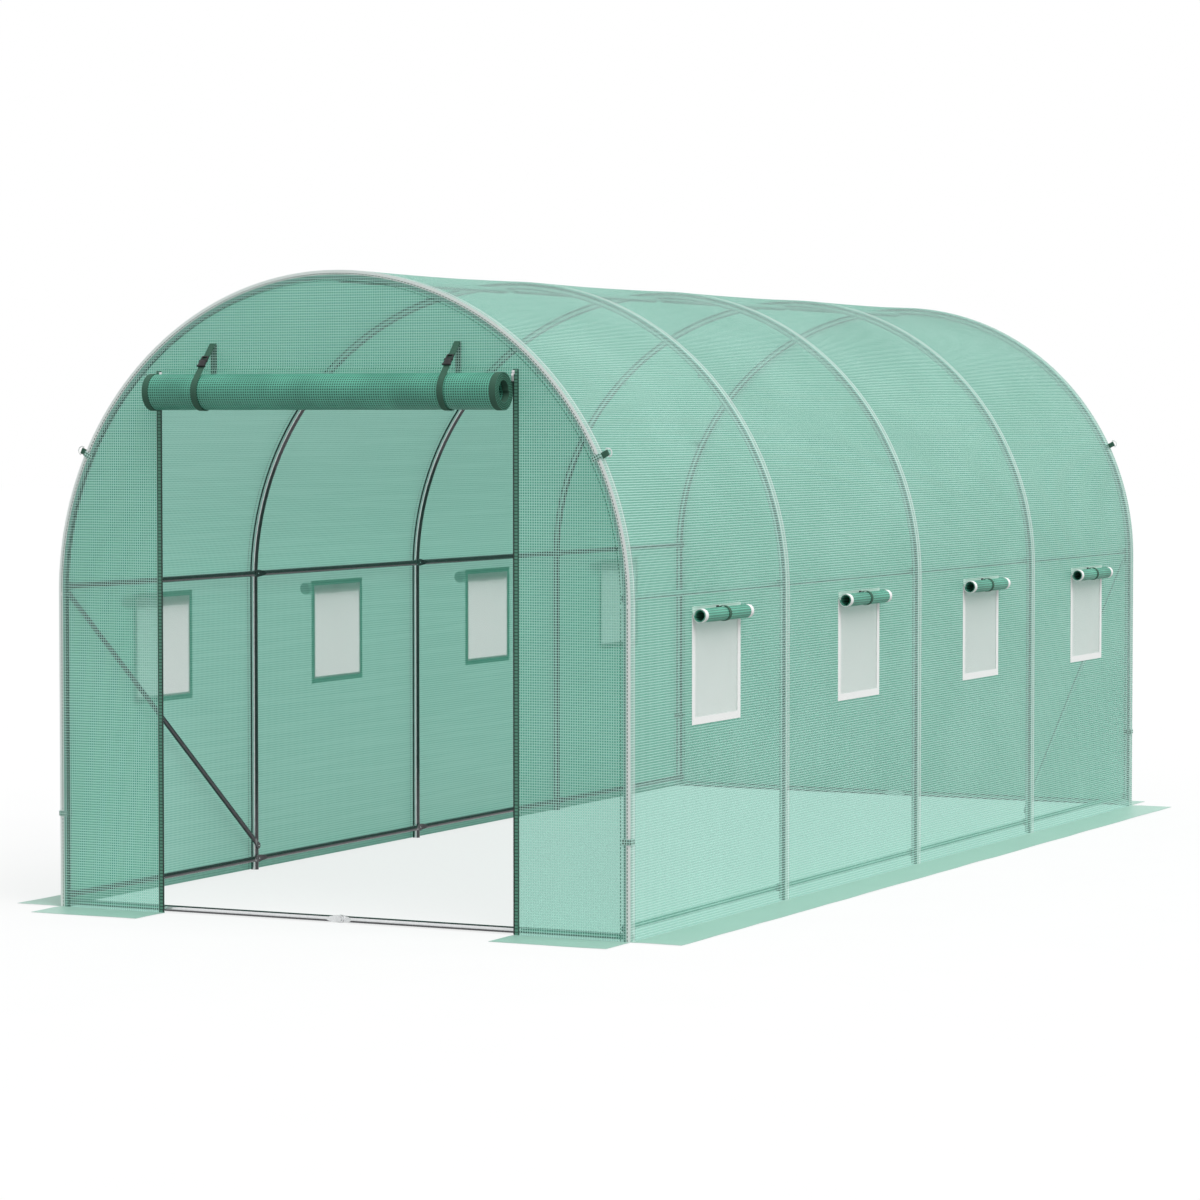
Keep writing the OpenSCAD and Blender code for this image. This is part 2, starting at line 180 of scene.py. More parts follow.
class WindowSettings(PropertyGroup):
    """The windows: screens, tapes and rolled-up flaps."""

    flap_r: length("Flap Radius", "Radius of a rolled-up flap", 0.0215)
    half_turns: IntProperty(name="Half Turns", description="Half turns of a wound flap", default=4, min=2)
    flap_pitch: length("Turn Pitch", "Spacing of the turns of a wound flap", 0.0032)
    flap_t: length("Flap Thickness", "Thickness of a layer of a wound flap", 0.0018)
    edge_w: length("Edge Width", "Width of the white tape at each end of a flap", 0.020)
    tape_w: length("Tape Width", "Width of the tape round a window", 0.022)
    tape_t: length("Tape Thickness", "Thickness of the tape round a window", 0.0012)
    tie_w: length("Tie Width", "Width of the tie round a flap", 0.016)
    tie_t: length("Tie Thickness", "Thickness of the tie round a flap", 0.0015)
    header: colour("Header", "Colour of the threads of a flap's header", (0.68, 0.90, 0.82))
    tape: colour("Tape", "Colour of the tape round the windows", (0.90, 0.91, 0.90))
    screen: colour("Screen", "Colour of the insect screens", (0.93, 0.93, 0.92))
    screen_cover: share("Screen Cover", "How much a screen hides what lies behind it", 0.70)
    screen_pitch: length("Screen Pitch", "Mesh width of the insect screens", 0.0018)


class SteelSettings(PropertyGroup):
    """The steel frame and its fixings."""

    # Painted light: the zinc colour is painted on the lit side of each tube, and the next colour is painted
    # shade and dark painted reflection on the tubes' inner sides and undersides.
    zinc: colour("Zinc", "Colour of the bright zinc coat", (0.86, 0.87, 0.88))
    shaded: colour("Dull Zinc", "Colour of the zinc coat where it is dull", (0.10, 0.10, 0.105))
    spangle: length("Spangle", "Size of the flecks in the zinc coat", 0.006)
    bolt_d: length("Bolt Diameter", "Diameter of the frame's bolts", 0.006)
    flat_t: length("Flat Thickness", "Thickness of a flattened tube end", 0.0028)
    ring: colour("Ring", "Colour of the clear guy rings", (0.86, 0.90, 0.88))


class TrimSettings(PropertyGroup):
    """Guy loops, corner ties and seams."""

    guy_angle: angle("Guy Angle", "Angle of a guy loop above the springing of the arch", 26)
    guy_l: length("Guy Length", "Length of a guy loop", 0.020)
    guy_w: length("Guy Width", "Width of a guy loop", 0.017)
    guy_t: length("Guy Thickness", "Thickness of the webbing of a guy loop", 0.0015)
    wire_r: length("Ring Wire", "Radius of the wire of a guy ring", 0.0018)
    tie_w: length("Tie Width", "Width of a corner tie", 0.016)
    tie_t: length("Tie Thickness", "Thickness of a corner tie", 0.002)
    stitch_pitch: length("Stitch Pitch", "Distance from stitch to stitch", 0.011)
    stitch_l: length("Stitch Length", "Length of a stitch", 0.0065)
    stitch_w: length("Stitch Width", "Width of a stitch", 0.0016)
    thread: colour("Sewing Thread", "Colour of the sewing thread", (0.05, 0.15, 0.11))


class StageSettings(PropertyGroup):
    """Floor, lamp and camera."""

    camera_place: FloatVectorProperty(name="Camera Place", description="Where the camera stands",
                                      default=(5.857, -12.479, 1.497), subtype="TRANSLATION", unit="LENGTH")
    camera_pitch: angle("Camera Pitch", "How far the camera looks down", 2.607)
    camera_yaw: angle("Camera Yaw", "How far the camera turns to the left", 25.982)
    lens: amount("Lens", "Focal length of the camera in millimetres", 119.56)
    ambient: amount("Ambient", "Strength of the light from all round", 0.66)
    lamp: amount("Lamp", "Strength of the broad lamp above and to the right", 2.3)
    lamp_spread: angle("Lamp Spread", "Apparent width of the lamp, which softens shadows", 50)
    floor_white: share("Floor White", "How much of the floor's own shading is whitened", 0.5)


# Node materials

class NodeTree:
    """The nodes of a new material or world, with one call for a node, its settings and its inputs."""

    def __init__(self, owner):
        owner.use_nodes = True
        self.owner = owner
        self.tree = owner.node_tree
        self.tree.nodes.clear()

    def add(self, kind, inputs=None, **settings):
        """Adds a node. A socket given as an input is linked, and any other value is set on the input."""
        node = self.tree.nodes.new(kind)
        for name, value in settings.items():
            setattr(node, name, value)
        for name, value in (inputs or {}).items():
            if isinstance(value, bpy.types.NodeSocket):
                self.tree.links.new(value, node.inputs[name])
            else:
                node.inputs[name].default_value = value
        return node

    def math(self, operation, first, second):
        """The result of one sum of two values."""
        return self.add("ShaderNodeMath", {0: first, 1: second}, operation=operation).outputs[0]

    def ramp(self, value, low, high, at_low, at_high):
        """A soft step from one value to another."""
        inputs = {"Value": value, "From Min": low, "From Max": high, "To Min": at_low, "To Max": at_high}
        return self.add("ShaderNodeMapRange", inputs, interpolation_type="SMOOTHSTEP").outputs[0]

    def blend(self, factor, first, second):
        """A mix of two colours."""
        inputs = {0: factor, 6: rgba(first), 7: rgba(second)}
        return self.add("ShaderNodeMix", inputs, data_type="RGBA").outputs[2]

    def place(self):
        """The place on the piece, in metres."""
        return self.add("ShaderNodeTexCoord").outputs["Object"]

    def cloth(self):
        """The place on the cut sheet, in metres."""
        return self.add("ShaderNodeUVMap", uv_map="weave").outputs["UV"]

    def facing(self):
        """The direction that the surface faces."""
        return self.add("ShaderNodeNewGeometry").outputs["Normal"]

    def axes(self, vector):
        """The parts of a vector along X, Y and Z."""
        return self.add("ShaderNodeSeparateXYZ", {0: vector}).outputs

    def rows(self, value, pitch):
        """Distance to the nearest of a row of evenly spaced lines, in pitches."""
        return self.math("PINGPONG", self.math("MULTIPLY", value, 1 / pitch), 0.5)

    def speckle(self, vector, scale, detail):
        """Fine noise from 0 to 1."""
        return self.add("ShaderNodeTexNoise", {"Vector": vector, "Scale": scale, "Detail": detail}).outputs[0]

    def bump(self, height, distance, strength):
        """A normal that follows a height."""
        inputs = {"Height": height, "Distance": distance, "Strength": strength}
        return self.add("ShaderNodeBump", inputs).outputs[0]

    def seen(self):
        """1 for what the camera sees, straight or reflected, and 0 for light on its way to a surface."""
        path = self.add("ShaderNodeLightPath").outputs
        either = self.math("MAXIMUM", path["Is Camera Ray"], path["Is Glossy Ray"])
        return self.math("MAXIMUM", either, path["Is Transmission Ray"])

    def surface(self, base, roughness, normal, others=None):
        """A plain surface, with any other inputs by their names."""
        inputs = {"Base Color": base, "Roughness": roughness, "Normal": normal, **(others or {})}
        return self.add("ShaderNodeBsdfPrincipled", inputs).outputs[0]

    def backlight(self, base):
        """Light from behind that a sheet scatters."""
        return self.add("ShaderNodeBsdfTranslucent", {"Color": rgba(base)}).outputs[0]

    def clear(self, tint):
        """Light that passes straight through."""
        return self.add("ShaderNodeBsdfTransparent", {"Color": rgba(tint)}).outputs[0]

    def mix(self, part, first, second):
        """A mix of two shaders."""
        return self.add("ShaderNodeMixShader", {0: part, 1: first, 2: second}).outputs[0]

    def finish(self, shader):
        """Links the last shader to the material's output and gives the material."""
        self.add("ShaderNodeOutputMaterial", {"Surface": shader})
        return self.owner


def new_finish(name):
    """The empty nodes of a new material."""
    return NodeTree(bpy.data.materials.new(name))


def rgba(value):
    """A colour with full alpha, or a socket as it is."""
    return value if isinstance(value, bpy.types.NodeSocket) else (*value, 1.0)


def toned(base, factor):
    """A colour made darker, or paler with a factor over 1."""
    return [min(1.0, factor * part) for part in base]


def woven_lines(tree, pitch, part):
    """1 on the threads of a square weave and 0 in the cells between them."""
    axes = tree.axes(tree.cloth())
    lines = [tree.ramp(tree.rows(axes[axis], pitch), part * 0.3, part * 0.7, 1.0, 0.0) for axis in "XY"]
    return tree.math("MAXIMUM", *lines)


def band(tree, value, low, high, soft):
    """1 where a value, in tube radii, lies between two limits, with soft edges."""
    rise = tree.ramp(value, (low - soft) * TUBE_R, low * TUBE_R, 0.0, 1.0)
    return tree.math("MULTIPLY", rise, tree.ramp(value, high * TUBE_R, (high + soft) * TUBE_R, 1.0, 0.0))


def cover_hoop_highlight(tree):
    """Painted highlight where the cover lies on a hoop, palest along the tube's two edges, and painted shade
    just beside it.
    """
    place = tree.axes(tree.cloth())["X"]
    along = tree.math("MINIMUM", tree.math("MAXIMUM", place, HOOP_Y[0]), HOOP_Y[-1])
    distance = tree.math("MULTIPLY", tree.rows(tree.math("SUBTRACT", along, HOOP_Y[0]), BAY), BAY)
    # Painted highlights along the tube's two edges and a fainter one over its middle; the second value is
    # painted shade beside the tube.
    edges = tree.math("MULTIPLY", band(tree, distance, 0.75, 1.0, 0.15), 0.75)
    middle_part = tree.ramp(distance, 0.9 * TUBE_R, 1.1 * TUBE_R, 0.4, 0.0)
    return tree.math("MAXIMUM", edges, middle_part), band(tree, distance, 1.2, 1.45, 0.15)


def end_hoop_highlight(tree):
    """Painted highlight where an end lies on its hoop and is turned round it, and painted shade just inside
    that.
    """
    axes = tree.axes(tree.cloth())
    rise = tree.math("MAXIMUM", tree.math("SUBTRACT", axes["Y"], LEG_H), 0.0)
    square = tree.math("ADD", tree.math("POWER", tree.math("ABSOLUTE", axes["X"], 0.0), 2.0),
                       tree.math("POWER", rise, 2.0))
    inward = tree.math("SUBTRACT", ARCH_R, tree.math("SQRT", square, 0.0))
    # Painted highlight over the strip beyond the hoop's centre line, and painted shade in a band just inside
    # it.
    return tree.ramp(inward, -0.1 * TUBE_R, 0.1 * TUBE_R, 0.95, 0.0), band(tree, inward, 0.3, 0.75, 0.15)


def film_finish(name, settings, hoop_highlight_of):
    """See-through woven film: paler threads, clearer cells, uneven rows, and painted highlights and painted
    shade on the hoops.
    """
    film = settings.film
    tree = new_finish(name)
    threads = woven_lines(tree, film.pitch, film.thread_share)
    cloud = tree.speckle(tree.cloth(), 2.5, 3.0)
    stretch = (1.6, 0.45 / film.pitch, 1.0)
    rows = tree.add("ShaderNodeMapping", {"Vector": tree.cloth(), "Scale": stretch}).outputs[0]
    slub = tree.ramp(tree.speckle(rows, 1.0, 1.0), 0.42, 0.68, 0.0, film.slub)
    base = tree.blend(tree.math("MAXIMUM", threads, slub), film.cell, film.thread)
    inside = tree.add("ShaderNodeNewGeometry").outputs["Backfacing"]
    # Painted light on the hoops: a painted highlight of the tube, kept off the inner side, and a painted
    # shade beside it, dark in the cells and in a darkened cell colour; both also hide what lies behind.
    hoop_highlight, rim = hoop_highlight_of(tree)
    hoop_highlight = tree.math("MULTIPLY", hoop_highlight, tree.math("SUBTRACT", 1.0, inside))
    rim = tree.math("MULTIPLY", rim, tree.ramp(threads, 0.0, 1.0, 0.8, 0.1))
    base = tree.blend(hoop_highlight, tree.blend(rim, base, toned(film.cell, 0.3)), film.hoop_highlight)
    gloss = {"Specular IOR Level": 0.6, "Sheen Weight": 0.25}
    body = tree.surface(base, 0.42, tree.bump(threads, 0.0004, 0.35), gloss)
    sheet = tree.mix(film.glow, body, tree.backlight(base))
    cover = tree.ramp(threads, 0.0, 1.0, film.cell_cover, film.thread_cover)
    cover = tree.math("ADD", cover, tree.ramp(cloud, 0.3, 0.7, -0.03, 0.03))
    cover = tree.math("MAXIMUM", cover, tree.math("MAXIMUM", hoop_highlight, rim))
    cover = tree.math("MAXIMUM", cover, tree.math("MULTIPLY", inside, film.inner_cover))
    return tree.finish(tree.mix(cover, tree.clear(film.tint), sheet))


def woven_finish(name, pitch, part, cell, thread, passing):
    """Closed woven sheet with paler threads, which lets a share of the light pass."""
    tree = new_finish(name)
    threads = woven_lines(tree, pitch, part)
    cloud = tree.speckle(tree.cloth(), 5.0, 4.0)
    base = tree.blend(tree.math("MULTIPLY", threads, tree.ramp(cloud, 0.25, 0.75, 0.6, 1.0)), cell, thread)
    body = tree.surface(base, 0.45, tree.bump(threads, 0.0004, 0.3))
    return tree.finish(tree.mix(passing, body, tree.backlight(base)))


def webbing_finish(name, base, rib):
    """Ribbed webbing: ribs across the run and a fine fleck."""
    tree = new_finish(name)
    ribs = tree.ramp(tree.rows(tree.axes(tree.cloth())["Y"], rib), 0.05, 0.45, 0.0, 1.0)
    fleck = tree.speckle(tree.cloth(), 900.0, 2.0)
    shade = tree.blend(tree.math("MULTIPLY", ribs, fleck), base, toned(base, 1.8))
    return tree.finish(tree.surface(shade, 0.8, tree.bump(ribs, 0.0004, 0.5), {"Specular IOR Level": 0.25}))


def zip_finish(settings):
    """Zip tape: a ladder of dense picks between two dark edges."""
    base = settings.door.zip_tape
    pick_pitch = 0.010
    tree = new_finish("zip_weave")
    axes = tree.axes(tree.cloth())
    rung = tree.ramp(tree.rows(axes["Y"], pick_pitch), 0.12, 0.2, 0.0, 1.0)
    inside = tree.ramp(tree.rows(axes["X"], settings.door.zip_w), 0.18, 0.24, 0.0, 1.0)
    shade = tree.blend(tree.math("MULTIPLY", rung, inside), base, toned(base, 3.2))
    fleck = tree.speckle(tree.cloth(), 1200.0, 2.0)
    return tree.finish(tree.surface(shade, 0.7, tree.bump(fleck, 0.0003, 0.4)))


def tape_finish(settings):
    """Hook tape: white, with a fine nap of hooks."""
    base = settings.windows.tape
    tree = new_finish("hook_nap")
    nap = tree.speckle(tree.place(), 700.0, 3.0)
    shade = tree.blend(tree.ramp(nap, 0.3, 0.7, 0.0, 1.0), toned(base, 0.86), base)
    return tree.finish(tree.surface(shade, 0.85, tree.bump(nap, 0.0006, 0.5)))


def screen_finish(settings):
    """Fine open mesh: white threads with gaps to see through."""
    windows = settings.windows
    tree = new_finish("screen_mesh")
    threads = woven_lines(tree, windows.screen_pitch, 0.6)
    haze = tree.speckle(tree.cloth(), 9.0, 2.0)
    cover = tree.ramp(threads, 0.0, 1.0, windows.screen_cover - 0.25, windows.screen_cover + 0.25)
    shade = tree.blend(haze, toned(windows.screen, 0.95), windows.screen)
    body = tree.surface(shade, 0.7, tree.bump(threads, 0.0003, 0.3))
    sheet = tree.mix(0.4, body, tree.backlight(windows.screen))
    return tree.finish(tree.mix(cover, tree.clear((0.95, 0.97, 0.96)), sheet))


def outward_facing(tree):
    """1 on the side of a tube that faces out of the tunnel, -1 on the side that faces into it."""
    axes = tree.axes(tree.place())
    rise = tree.math("MAXIMUM", tree.math("SUBTRACT", axes["Z"], LEG_H), 0.0)
    spoke = tree.add("ShaderNodeCombineXYZ", {"X": axes["X"], "Z": rise}).outputs[0]
    outward = tree.add("ShaderNodeVectorMath", {0: spoke}, operation="NORMALIZE").outputs["Vector"]
    both = {0: tree.facing(), 1: outward}
    return tree.add("ShaderNodeVectorMath", both, operation="DOT_PRODUCT").outputs["Value"]


def hoop_painted_light(tree):
    """Painted light in streaks along a hoop: painted highlights on its back and just beside its inner side,
    painted shade and dark painted reflection between them and inside.
    """
    facing = outward_facing(tree)
    inner = tree.ramp(facing, -0.64, -0.50, 0.0, 1.0)
    beside = tree.math("MINIMUM", inner, tree.ramp(facing, 0.0, 0.15, 1.0, 0.0))
    return tree.math("MAXIMUM", beside, tree.ramp(facing, 0.6, 0.8, 0.0, 1.0))


def tube_painted_light(tree):
    """Painted light on a tube: 1, the painted lit side, on the side that faces out of the tunnel, 0, painted
    shade, on its inner side and its underside.
    """
    outer = tree.ramp(outward_facing(tree), -0.4, 0.1, 0.0, 1.0)
    upper = tree.ramp(tree.axes(tree.facing())["Z"], -0.65, -0.25, 0.0, 1.0)
    return tree.math("MINIMUM", outer, upper)


def rail_painted_light(tree):
    """Painted light on a level tube: 1, the painted lit side, on its upright sides, 0, painted shade, along
    its top and its underside.
    """
    tilt = tree.math("ABSOLUTE", tree.math("SUBTRACT", tree.axes(tree.facing())["Z"], 0.2), 0.0)
    return tree.ramp(tilt, 0.33, 0.6, 1.0, 0.0)


def steel_finish(name, settings, polish, painted_light_of):
    """Zinc-coated steel with painted light: lit and painted-shade streaks along the tube, set by the way each
    face turns, with flecks of different tone and gloss.
    """
    steel = settings.steel
    tree = new_finish(name)
    size = {"Vector": tree.place(), "Scale": 1 / steel.spangle}
    flecks = tree.add("ShaderNodeTexVoronoi", size).outputs["Color"]
    tone = tree.add("ShaderNodeSeparateColor", {0: flecks}).outputs[0]
    dust = tree.speckle(tree.place(), 40.0, 4.0)
    mottle = tree.math("MULTIPLY", tone, tree.ramp(dust, 0.2, 0.8, 0.5, 1.0))
    bright = tree.blend(mottle, toned(steel.zinc, 0.9), steel.zinc)
    shaded = tree.blend(mottle, toned(steel.shaded, 0.7), steel.shaded)
    # Painted light and shade: the mask gives the lit zinc colour, half metallic, on the faces it picks, and
    # the painted shade colour, fully metallic, elsewhere.
    painted_light = painted_light_of(tree)
    shade = tree.blend(painted_light, shaded, bright)
    rough = tree.ramp(tone, 0.0, 1.0, 0.22 - polish, 0.25 - polish)
    metal = {"Metallic": tree.ramp(painted_light, 0.0, 1.0, 1.0, 0.5)}
    return tree.finish(tree.surface(shade, rough, tree.bump(dust, 0.0002, 0.05), metal))


def moulded_finish(name, base, roughness, clear):
    """Moulded plastic with a faint grain; clear lets light through."""
    tree = new_finish(name)
    grain = tree.speckle(tree.place(), 500.0, 2.0)
    shade = tree.blend(grain, base, [min(1.0, 1.3 * part + 0.004) for part in base])
    through = {"Transmission Weight": clear}
    return tree.finish(tree.surface(shade, roughness, tree.bump(grain, 0.0002, 0.15), through))


class Settings:
    """The scene's groups of settings under short names."""

    def __init__(self, scene):
        self.film = scene.greenhouse_film
        self.door = scene.greenhouse_door
        self.windows = scene.greenhouse_windows
        self.steel = scene.greenhouse_steel
        self.trim = scene.greenhouse_trim
        self.stage = scene.greenhouse_stage


def finish_of(name, settings):
    """A finish by its name, made when it is first asked for."""
    made = bpy.data.materials.get(name)
    if made:
        return made
    film, door, windows = settings.film, settings.door, settings.windows
    weave = (film.pitch, film.thread_share)
    makers = {
        # These two films carry painted highlights and painted shade along the hoops.
        "cover_weave": lambda: film_finish(name, settings, cover_hoop_highlight),
        "end_weave": lambda: film_finish(name, settings, end_hoop_highlight),
        "skirt_weave": lambda: woven_finish(name, *weave, film.skirt, film.skirt_thread, 0.0),
        "roll_weave": lambda: woven_finish(name, film.pitch, 0.42, door.rolled, door.rolled_thread, 0.3),
        "header_weave": lambda: woven_finish(name, film.pitch, 0.42, film.skirt_thread, windows.header, 0.2),
        "strap_weave": lambda: webbing_finish(name, door.webbing, 0.002),
        "covered_tie": lambda: woven_finish(name, *weave, door.webbing, film.thread, 0.0),
        "sewing_thread": lambda: webbing_finish(name, settings.trim.thread, 0.001),
        "zip_weave": lambda: zip_finish(settings),
        "hook_nap": lambda: tape_finish(settings),
        "screen_mesh": lambda: screen_finish(settings),
        # The tube, rail and bolt finishes paint lit and shaded streaks by the way each surface faces.
        "zinc_hoop": lambda: steel_finish(name, settings, 0.08, hoop_painted_light),
        "zinc_tube": lambda: steel_finish(name, settings, 0.08, tube_painted_light),
        "zinc_rail": lambda: steel_finish(name, settings, 0.08, rail_painted_light),
        "zinc_bolt": lambda: steel_finish(name, settings, 0.14, rail_painted_light),
        "buckle_plastic": lambda: moulded_finish(name, door.plastic, 0.38, 0.0),
        "ring_plastic": lambda: moulded_finish(name, settings.steel.ring, 0.12, 0.5),
    }
    return makers[name]()


# Meshes

def verts_of(geom):
    """The vertices in an operator's result."""
    return [part for part in geom if isinstance(part, bmesh.types.BMVert)]


def edges_of(geom):
    """The edges in an operator's result."""
    return [part for part in geom if isinstance(part, bmesh.types.BMEdge)]


def line_to(bm, vert, point):
    """Draws an edge from a vertex to a point and gives the vertex at its far end."""
    far = bmesh.ops.extrude_vert_indiv(bm, verts=[vert])["verts"][0]
    far.co = point
    return far


def new_line(start, end, cuts=0):
    """A new mesh with one straight line in it, cut into equal parts."""
    bm = bmesh.new()
    line_to(bm, bm.verts.new(start), end)
    if cuts:
        bmesh.ops.subdivide_edges(bm, edges=bm.edges[:], cuts=cuts)
    return bm


def arc_from(bm, vert, centre, axis, angle, steps):
    """Draws an arc from a vertex round an axis and gives the vertex at its far end."""
    made = bmesh.ops.spin(bm, geom=[vert], cent=centre, axis=axis, angle=angle, steps=steps)
    return verts_of(made["geom_last"])[0]


def wound_line(bm, vert, centre, axis, shift, half_turns, steps):
    """Winds a line from a vertex in half turns, by turns about a centre and about the centre shifted."""
    for turn in range(half_turns):
        vert = arc_from(bm, vert, centre + (turn % 2) * shift, axis, -math.pi, steps)


def drawn_out(bm, edges, vector, count):
    """Draws edges out into faces, count times over one vector, and gives the last edges."""
    for _ in range(count):
        made = bmesh.ops.extrude_edge_only(bm, edges=edges)["geom"]
        fresh = set(verts_of(made))
        bmesh.ops.translate(bm, verts=list(fresh), vec=vector / count)
        edges = [edge for edge in edges_of(made) if fresh.issuperset(edge.verts)]
    return edges


def strip(bm, side, count):
    """Widens a drawn line into a strip, with the weave laid across the strip and along the line."""
    run = bm.verts.layers.float.new("run")
    bm.verts.ensure_lookup_table()
    for before, here in zip(bm.verts[:-1], bm.verts[1:]):
        here[run] = before[run] + (here.co - before.co).length
    drawn_out(bm, bm.edges[:], side, count)
    across = side.normalized()
    lay_weave(bm, lambda vert: (vert.co.dot(across), vert[run]))
    bmesh.ops.recalc_face_normals(bm, faces=bm.faces)


def lay_weave(bm, place):
    """Lays the cut sheet's own coordinates, in metres, on every face."""
    weave = bm.loops.layers.uv.new("weave")
    for face in bm.faces:
        for loop in face.loops:
            loop[weave].uv = place(loop.vert)


def face_towards(bm, direction):
    """Turns every face of a flat sheet to one side."""
    bmesh.ops.recalc_face_normals(bm, faces=bm.faces)
    turned = [face for face in bm.faces if face.normal.dot(direction) < 0]
    bmesh.ops.reverse_faces(bm, faces=turned)


def add_piece(settings, name, bm, finish, replaced=()):
    """Makes an object of a mesh, on the frame's body and with its finish."""
    mesh = bpy.data.meshes.new(name)
    bm.to_mesh(mesh)
    bm.free()
    mesh.shade_smooth()
    mesh.materials.append(finish_of(finish, settings))
    piece = bpy.data.objects.new(name, mesh)
    bpy.context.scene.collection.objects.link(piece)
    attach(piece, BODY)
    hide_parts(*replaced)
    return piece


def add_hard_piece(settings, name, bm, finish, replaced=()):
    """Makes an object whose sharper edges stay crisp."""
    piece = add_piece(settings, name, bm, finish, replaced)
    piece.data.set_sharp_from_angle(angle=CRISP_ANGLE)
    return piece


def thicken(piece, thickness, offset):
    """Gives a sheet its thickness, with crisp rims: offset 0 to both sides, 1 along its normals."""
    modifier = piece.modifiers.new("Thickness", "SOLIDIFY")
    modifier.thickness = thickness
    modifier.offset = offset
    thin = piece.data
    solid = piece.evaluated_get(bpy.context.evaluated_depsgraph_get())
    piece.data = bpy.data.meshes.new_from_object(solid)
    piece.modifiers.clear()
    bpy.data.meshes.remove(thin)
    piece.data.name = piece.name
    piece.data.set_sharp_from_angle(angle=CRISP_ANGLE)
    return piece


def block(bm, size, place, edge, turn=None):
    """Adds a box of a size in metres with rounded edges, turned about its middle and set in place."""
    made = bmesh.ops.create_cube(bm, size=1.0)["verts"]
    bmesh.ops.scale(bm, vec=size, verts=made)
    if edge:
        edges = list({link for vert in made for link in vert.link_edges})
        rounded = bmesh.ops.bevel(bm, geom=edges, offset=edge, segments=2, profile=0.5, affect="EDGES",
                                  material=-1)
        made = list({vert for face in rounded["faces"] for vert in face.verts})
    spot = Matrix.Translation(place) @ (turn or Matrix.Identity(4))
    bmesh.ops.transform(bm, matrix=spot, verts=made)
    return made


def towards(direction):
    """The turn that points Z in a direction."""
    return direction.to_track_quat("Z", "Y").to_matrix().to_4x4()


def mirrored(bm, side):
    """Turns a piece of the right side into one of the left side, if side is -1."""
    if side < 0:
        bmesh.ops.scale(bm, vec=(-1, 1, 1), verts=bm.verts)
        bmesh.ops.reverse_faces(bm, faces=bm.faces)


# Film of the cover

def girth(place):
    """Distance round the cover from the foot of the left wall, for a place on the undisturbed film."""
    if place.z < LEG_H:
        return place.z if place.x < 0 else 2 * LEG_H + math.pi * HALF_W - place.z
    return LEG_H + HALF_W * math.atan2(place.z - LEG_H, -place.x)


def slack(y):
    """0 on a hoop and 1 half way between two hoops."""
    part = (y - HOOP_Y[0]) / BAY % 1.0
    return 4 * part * (1 - part)


def in_window(point):
    """Whether a point of a wall lies inside a window opening."""
    return SILL_Z < point.z < HEAD_Z and any(abs(point.y - y) < WINDOW_W / 2 for y in WINDOW_Y)


def cut_across(bm, point, normal):
    """Cuts every face along a plane."""
    bmesh.ops.bisect_plane(bm, geom=bm.faces[:] + bm.edges[:] + bm.verts[:], plane_co=point, plane_no=normal)


def cut_out(bm, inside):
    """Deletes the faces that have their middle inside an opening."""
    gone = [face for face in bm.faces if inside(face.calc_center_median())]
    bmesh.ops.delete(bm, geom=gone, context="FACES")


def build_cover(settings):
    """One sheet up the left wall, over the arch and down the right wall, with the windows cut out."""
    film = settings.film
    rows = round((REAR_Y - FRONT_Y) / film.step)
    bm = new_line((-HALF_W, FRONT_Y, 0), (-HALF_W, REAR_Y, 0), rows - 1)
    up_steps = round(LEG_H / film.step / 1.4)
    edge = drawn_out(bm, bm.edges[:], LEG_H * UP, up_steps)
    edge_verts = list({vert for part in edge for vert in part.verts})
    arch_steps = round(math.pi * HALF_W / film.step)
    swept = bmesh.ops.spin(bm, geom=edge + edge_verts, cent=(0, 0, LEG_H), axis=ALONG, angle=math.pi,
                           steps=arch_steps)
    drawn_out(bm, edges_of(swept["geom_last"]), -LEG_H * UP, up_steps)
    for z in (SILL_Z, HEAD_Z):
        cut_across(bm, (0, 0, z), UP)
    for y in WINDOW_Y:
        for side in (-1, 1):
            cut_across(bm, (0, y + side * WINDOW_W / 2, 0), ALONG)
    cut_out(bm, in_window)
    bmesh.ops.recalc_face_normals(bm, faces=bm.faces)
    lay_weave(bm, lambda vert: (vert.co.y, girth(vert.co)))
    for vert in bm.verts:
        rise = vert.co.z - LEG_H
        if rise > 0:
            outward = Vector((vert.co.x, 0, rise)) / HALF_W
            hold = slack(vert.co.y) * min(1.0, rise / (0.5 * HALF_W))
            wave = noise.noise(Vector((vert.co.y * 2.2, girth(vert.co) * 3.0, 0.7)))
            vert.co += (film.roof_ripple * wave - film.roof_sag) * hold * outward
    cover = add_piece(settings, "film_cover", bm, "cover_weave",
                      ["roof_cover", "left_wall", "right_wall"])


def end_outline(bm, y):
    """Draws the arched outline of an end of the tunnel and fills it with one face."""
    foot = bm.verts.new((-HALF_W, y, 0))
    spring = line_to(bm, foot, (-HALF_W, y, LEG_H))
    far = arc_from(bm, spring, (0, y, LEG_H), ALONG, math.pi, 96)
    line_to(bm, far, (HALF_W, y, 0))
    bmesh.ops.contextual_create(bm, geom=bm.edges[:] + bm.verts[:])


def lattice(bm, step):
    """Cuts a flat upright face into a lattice."""
    across = round(HALF_W / step)
    for i in range(1 - across, across):
        cut_across(bm, (i * HALF_W / across, 0, 0), ACROSS)
    crown = LEG_H + HALF_W
    rows = round(crown / step)
    for i in range(1, rows):
        cut_across(bm, (0, 0, i * crown / rows), UP)


def in_doorway(point):
    """Whether a point of the front lies inside the doorway."""
    return abs(point.x) < DOOR_HALF and point.z < DOOR_H


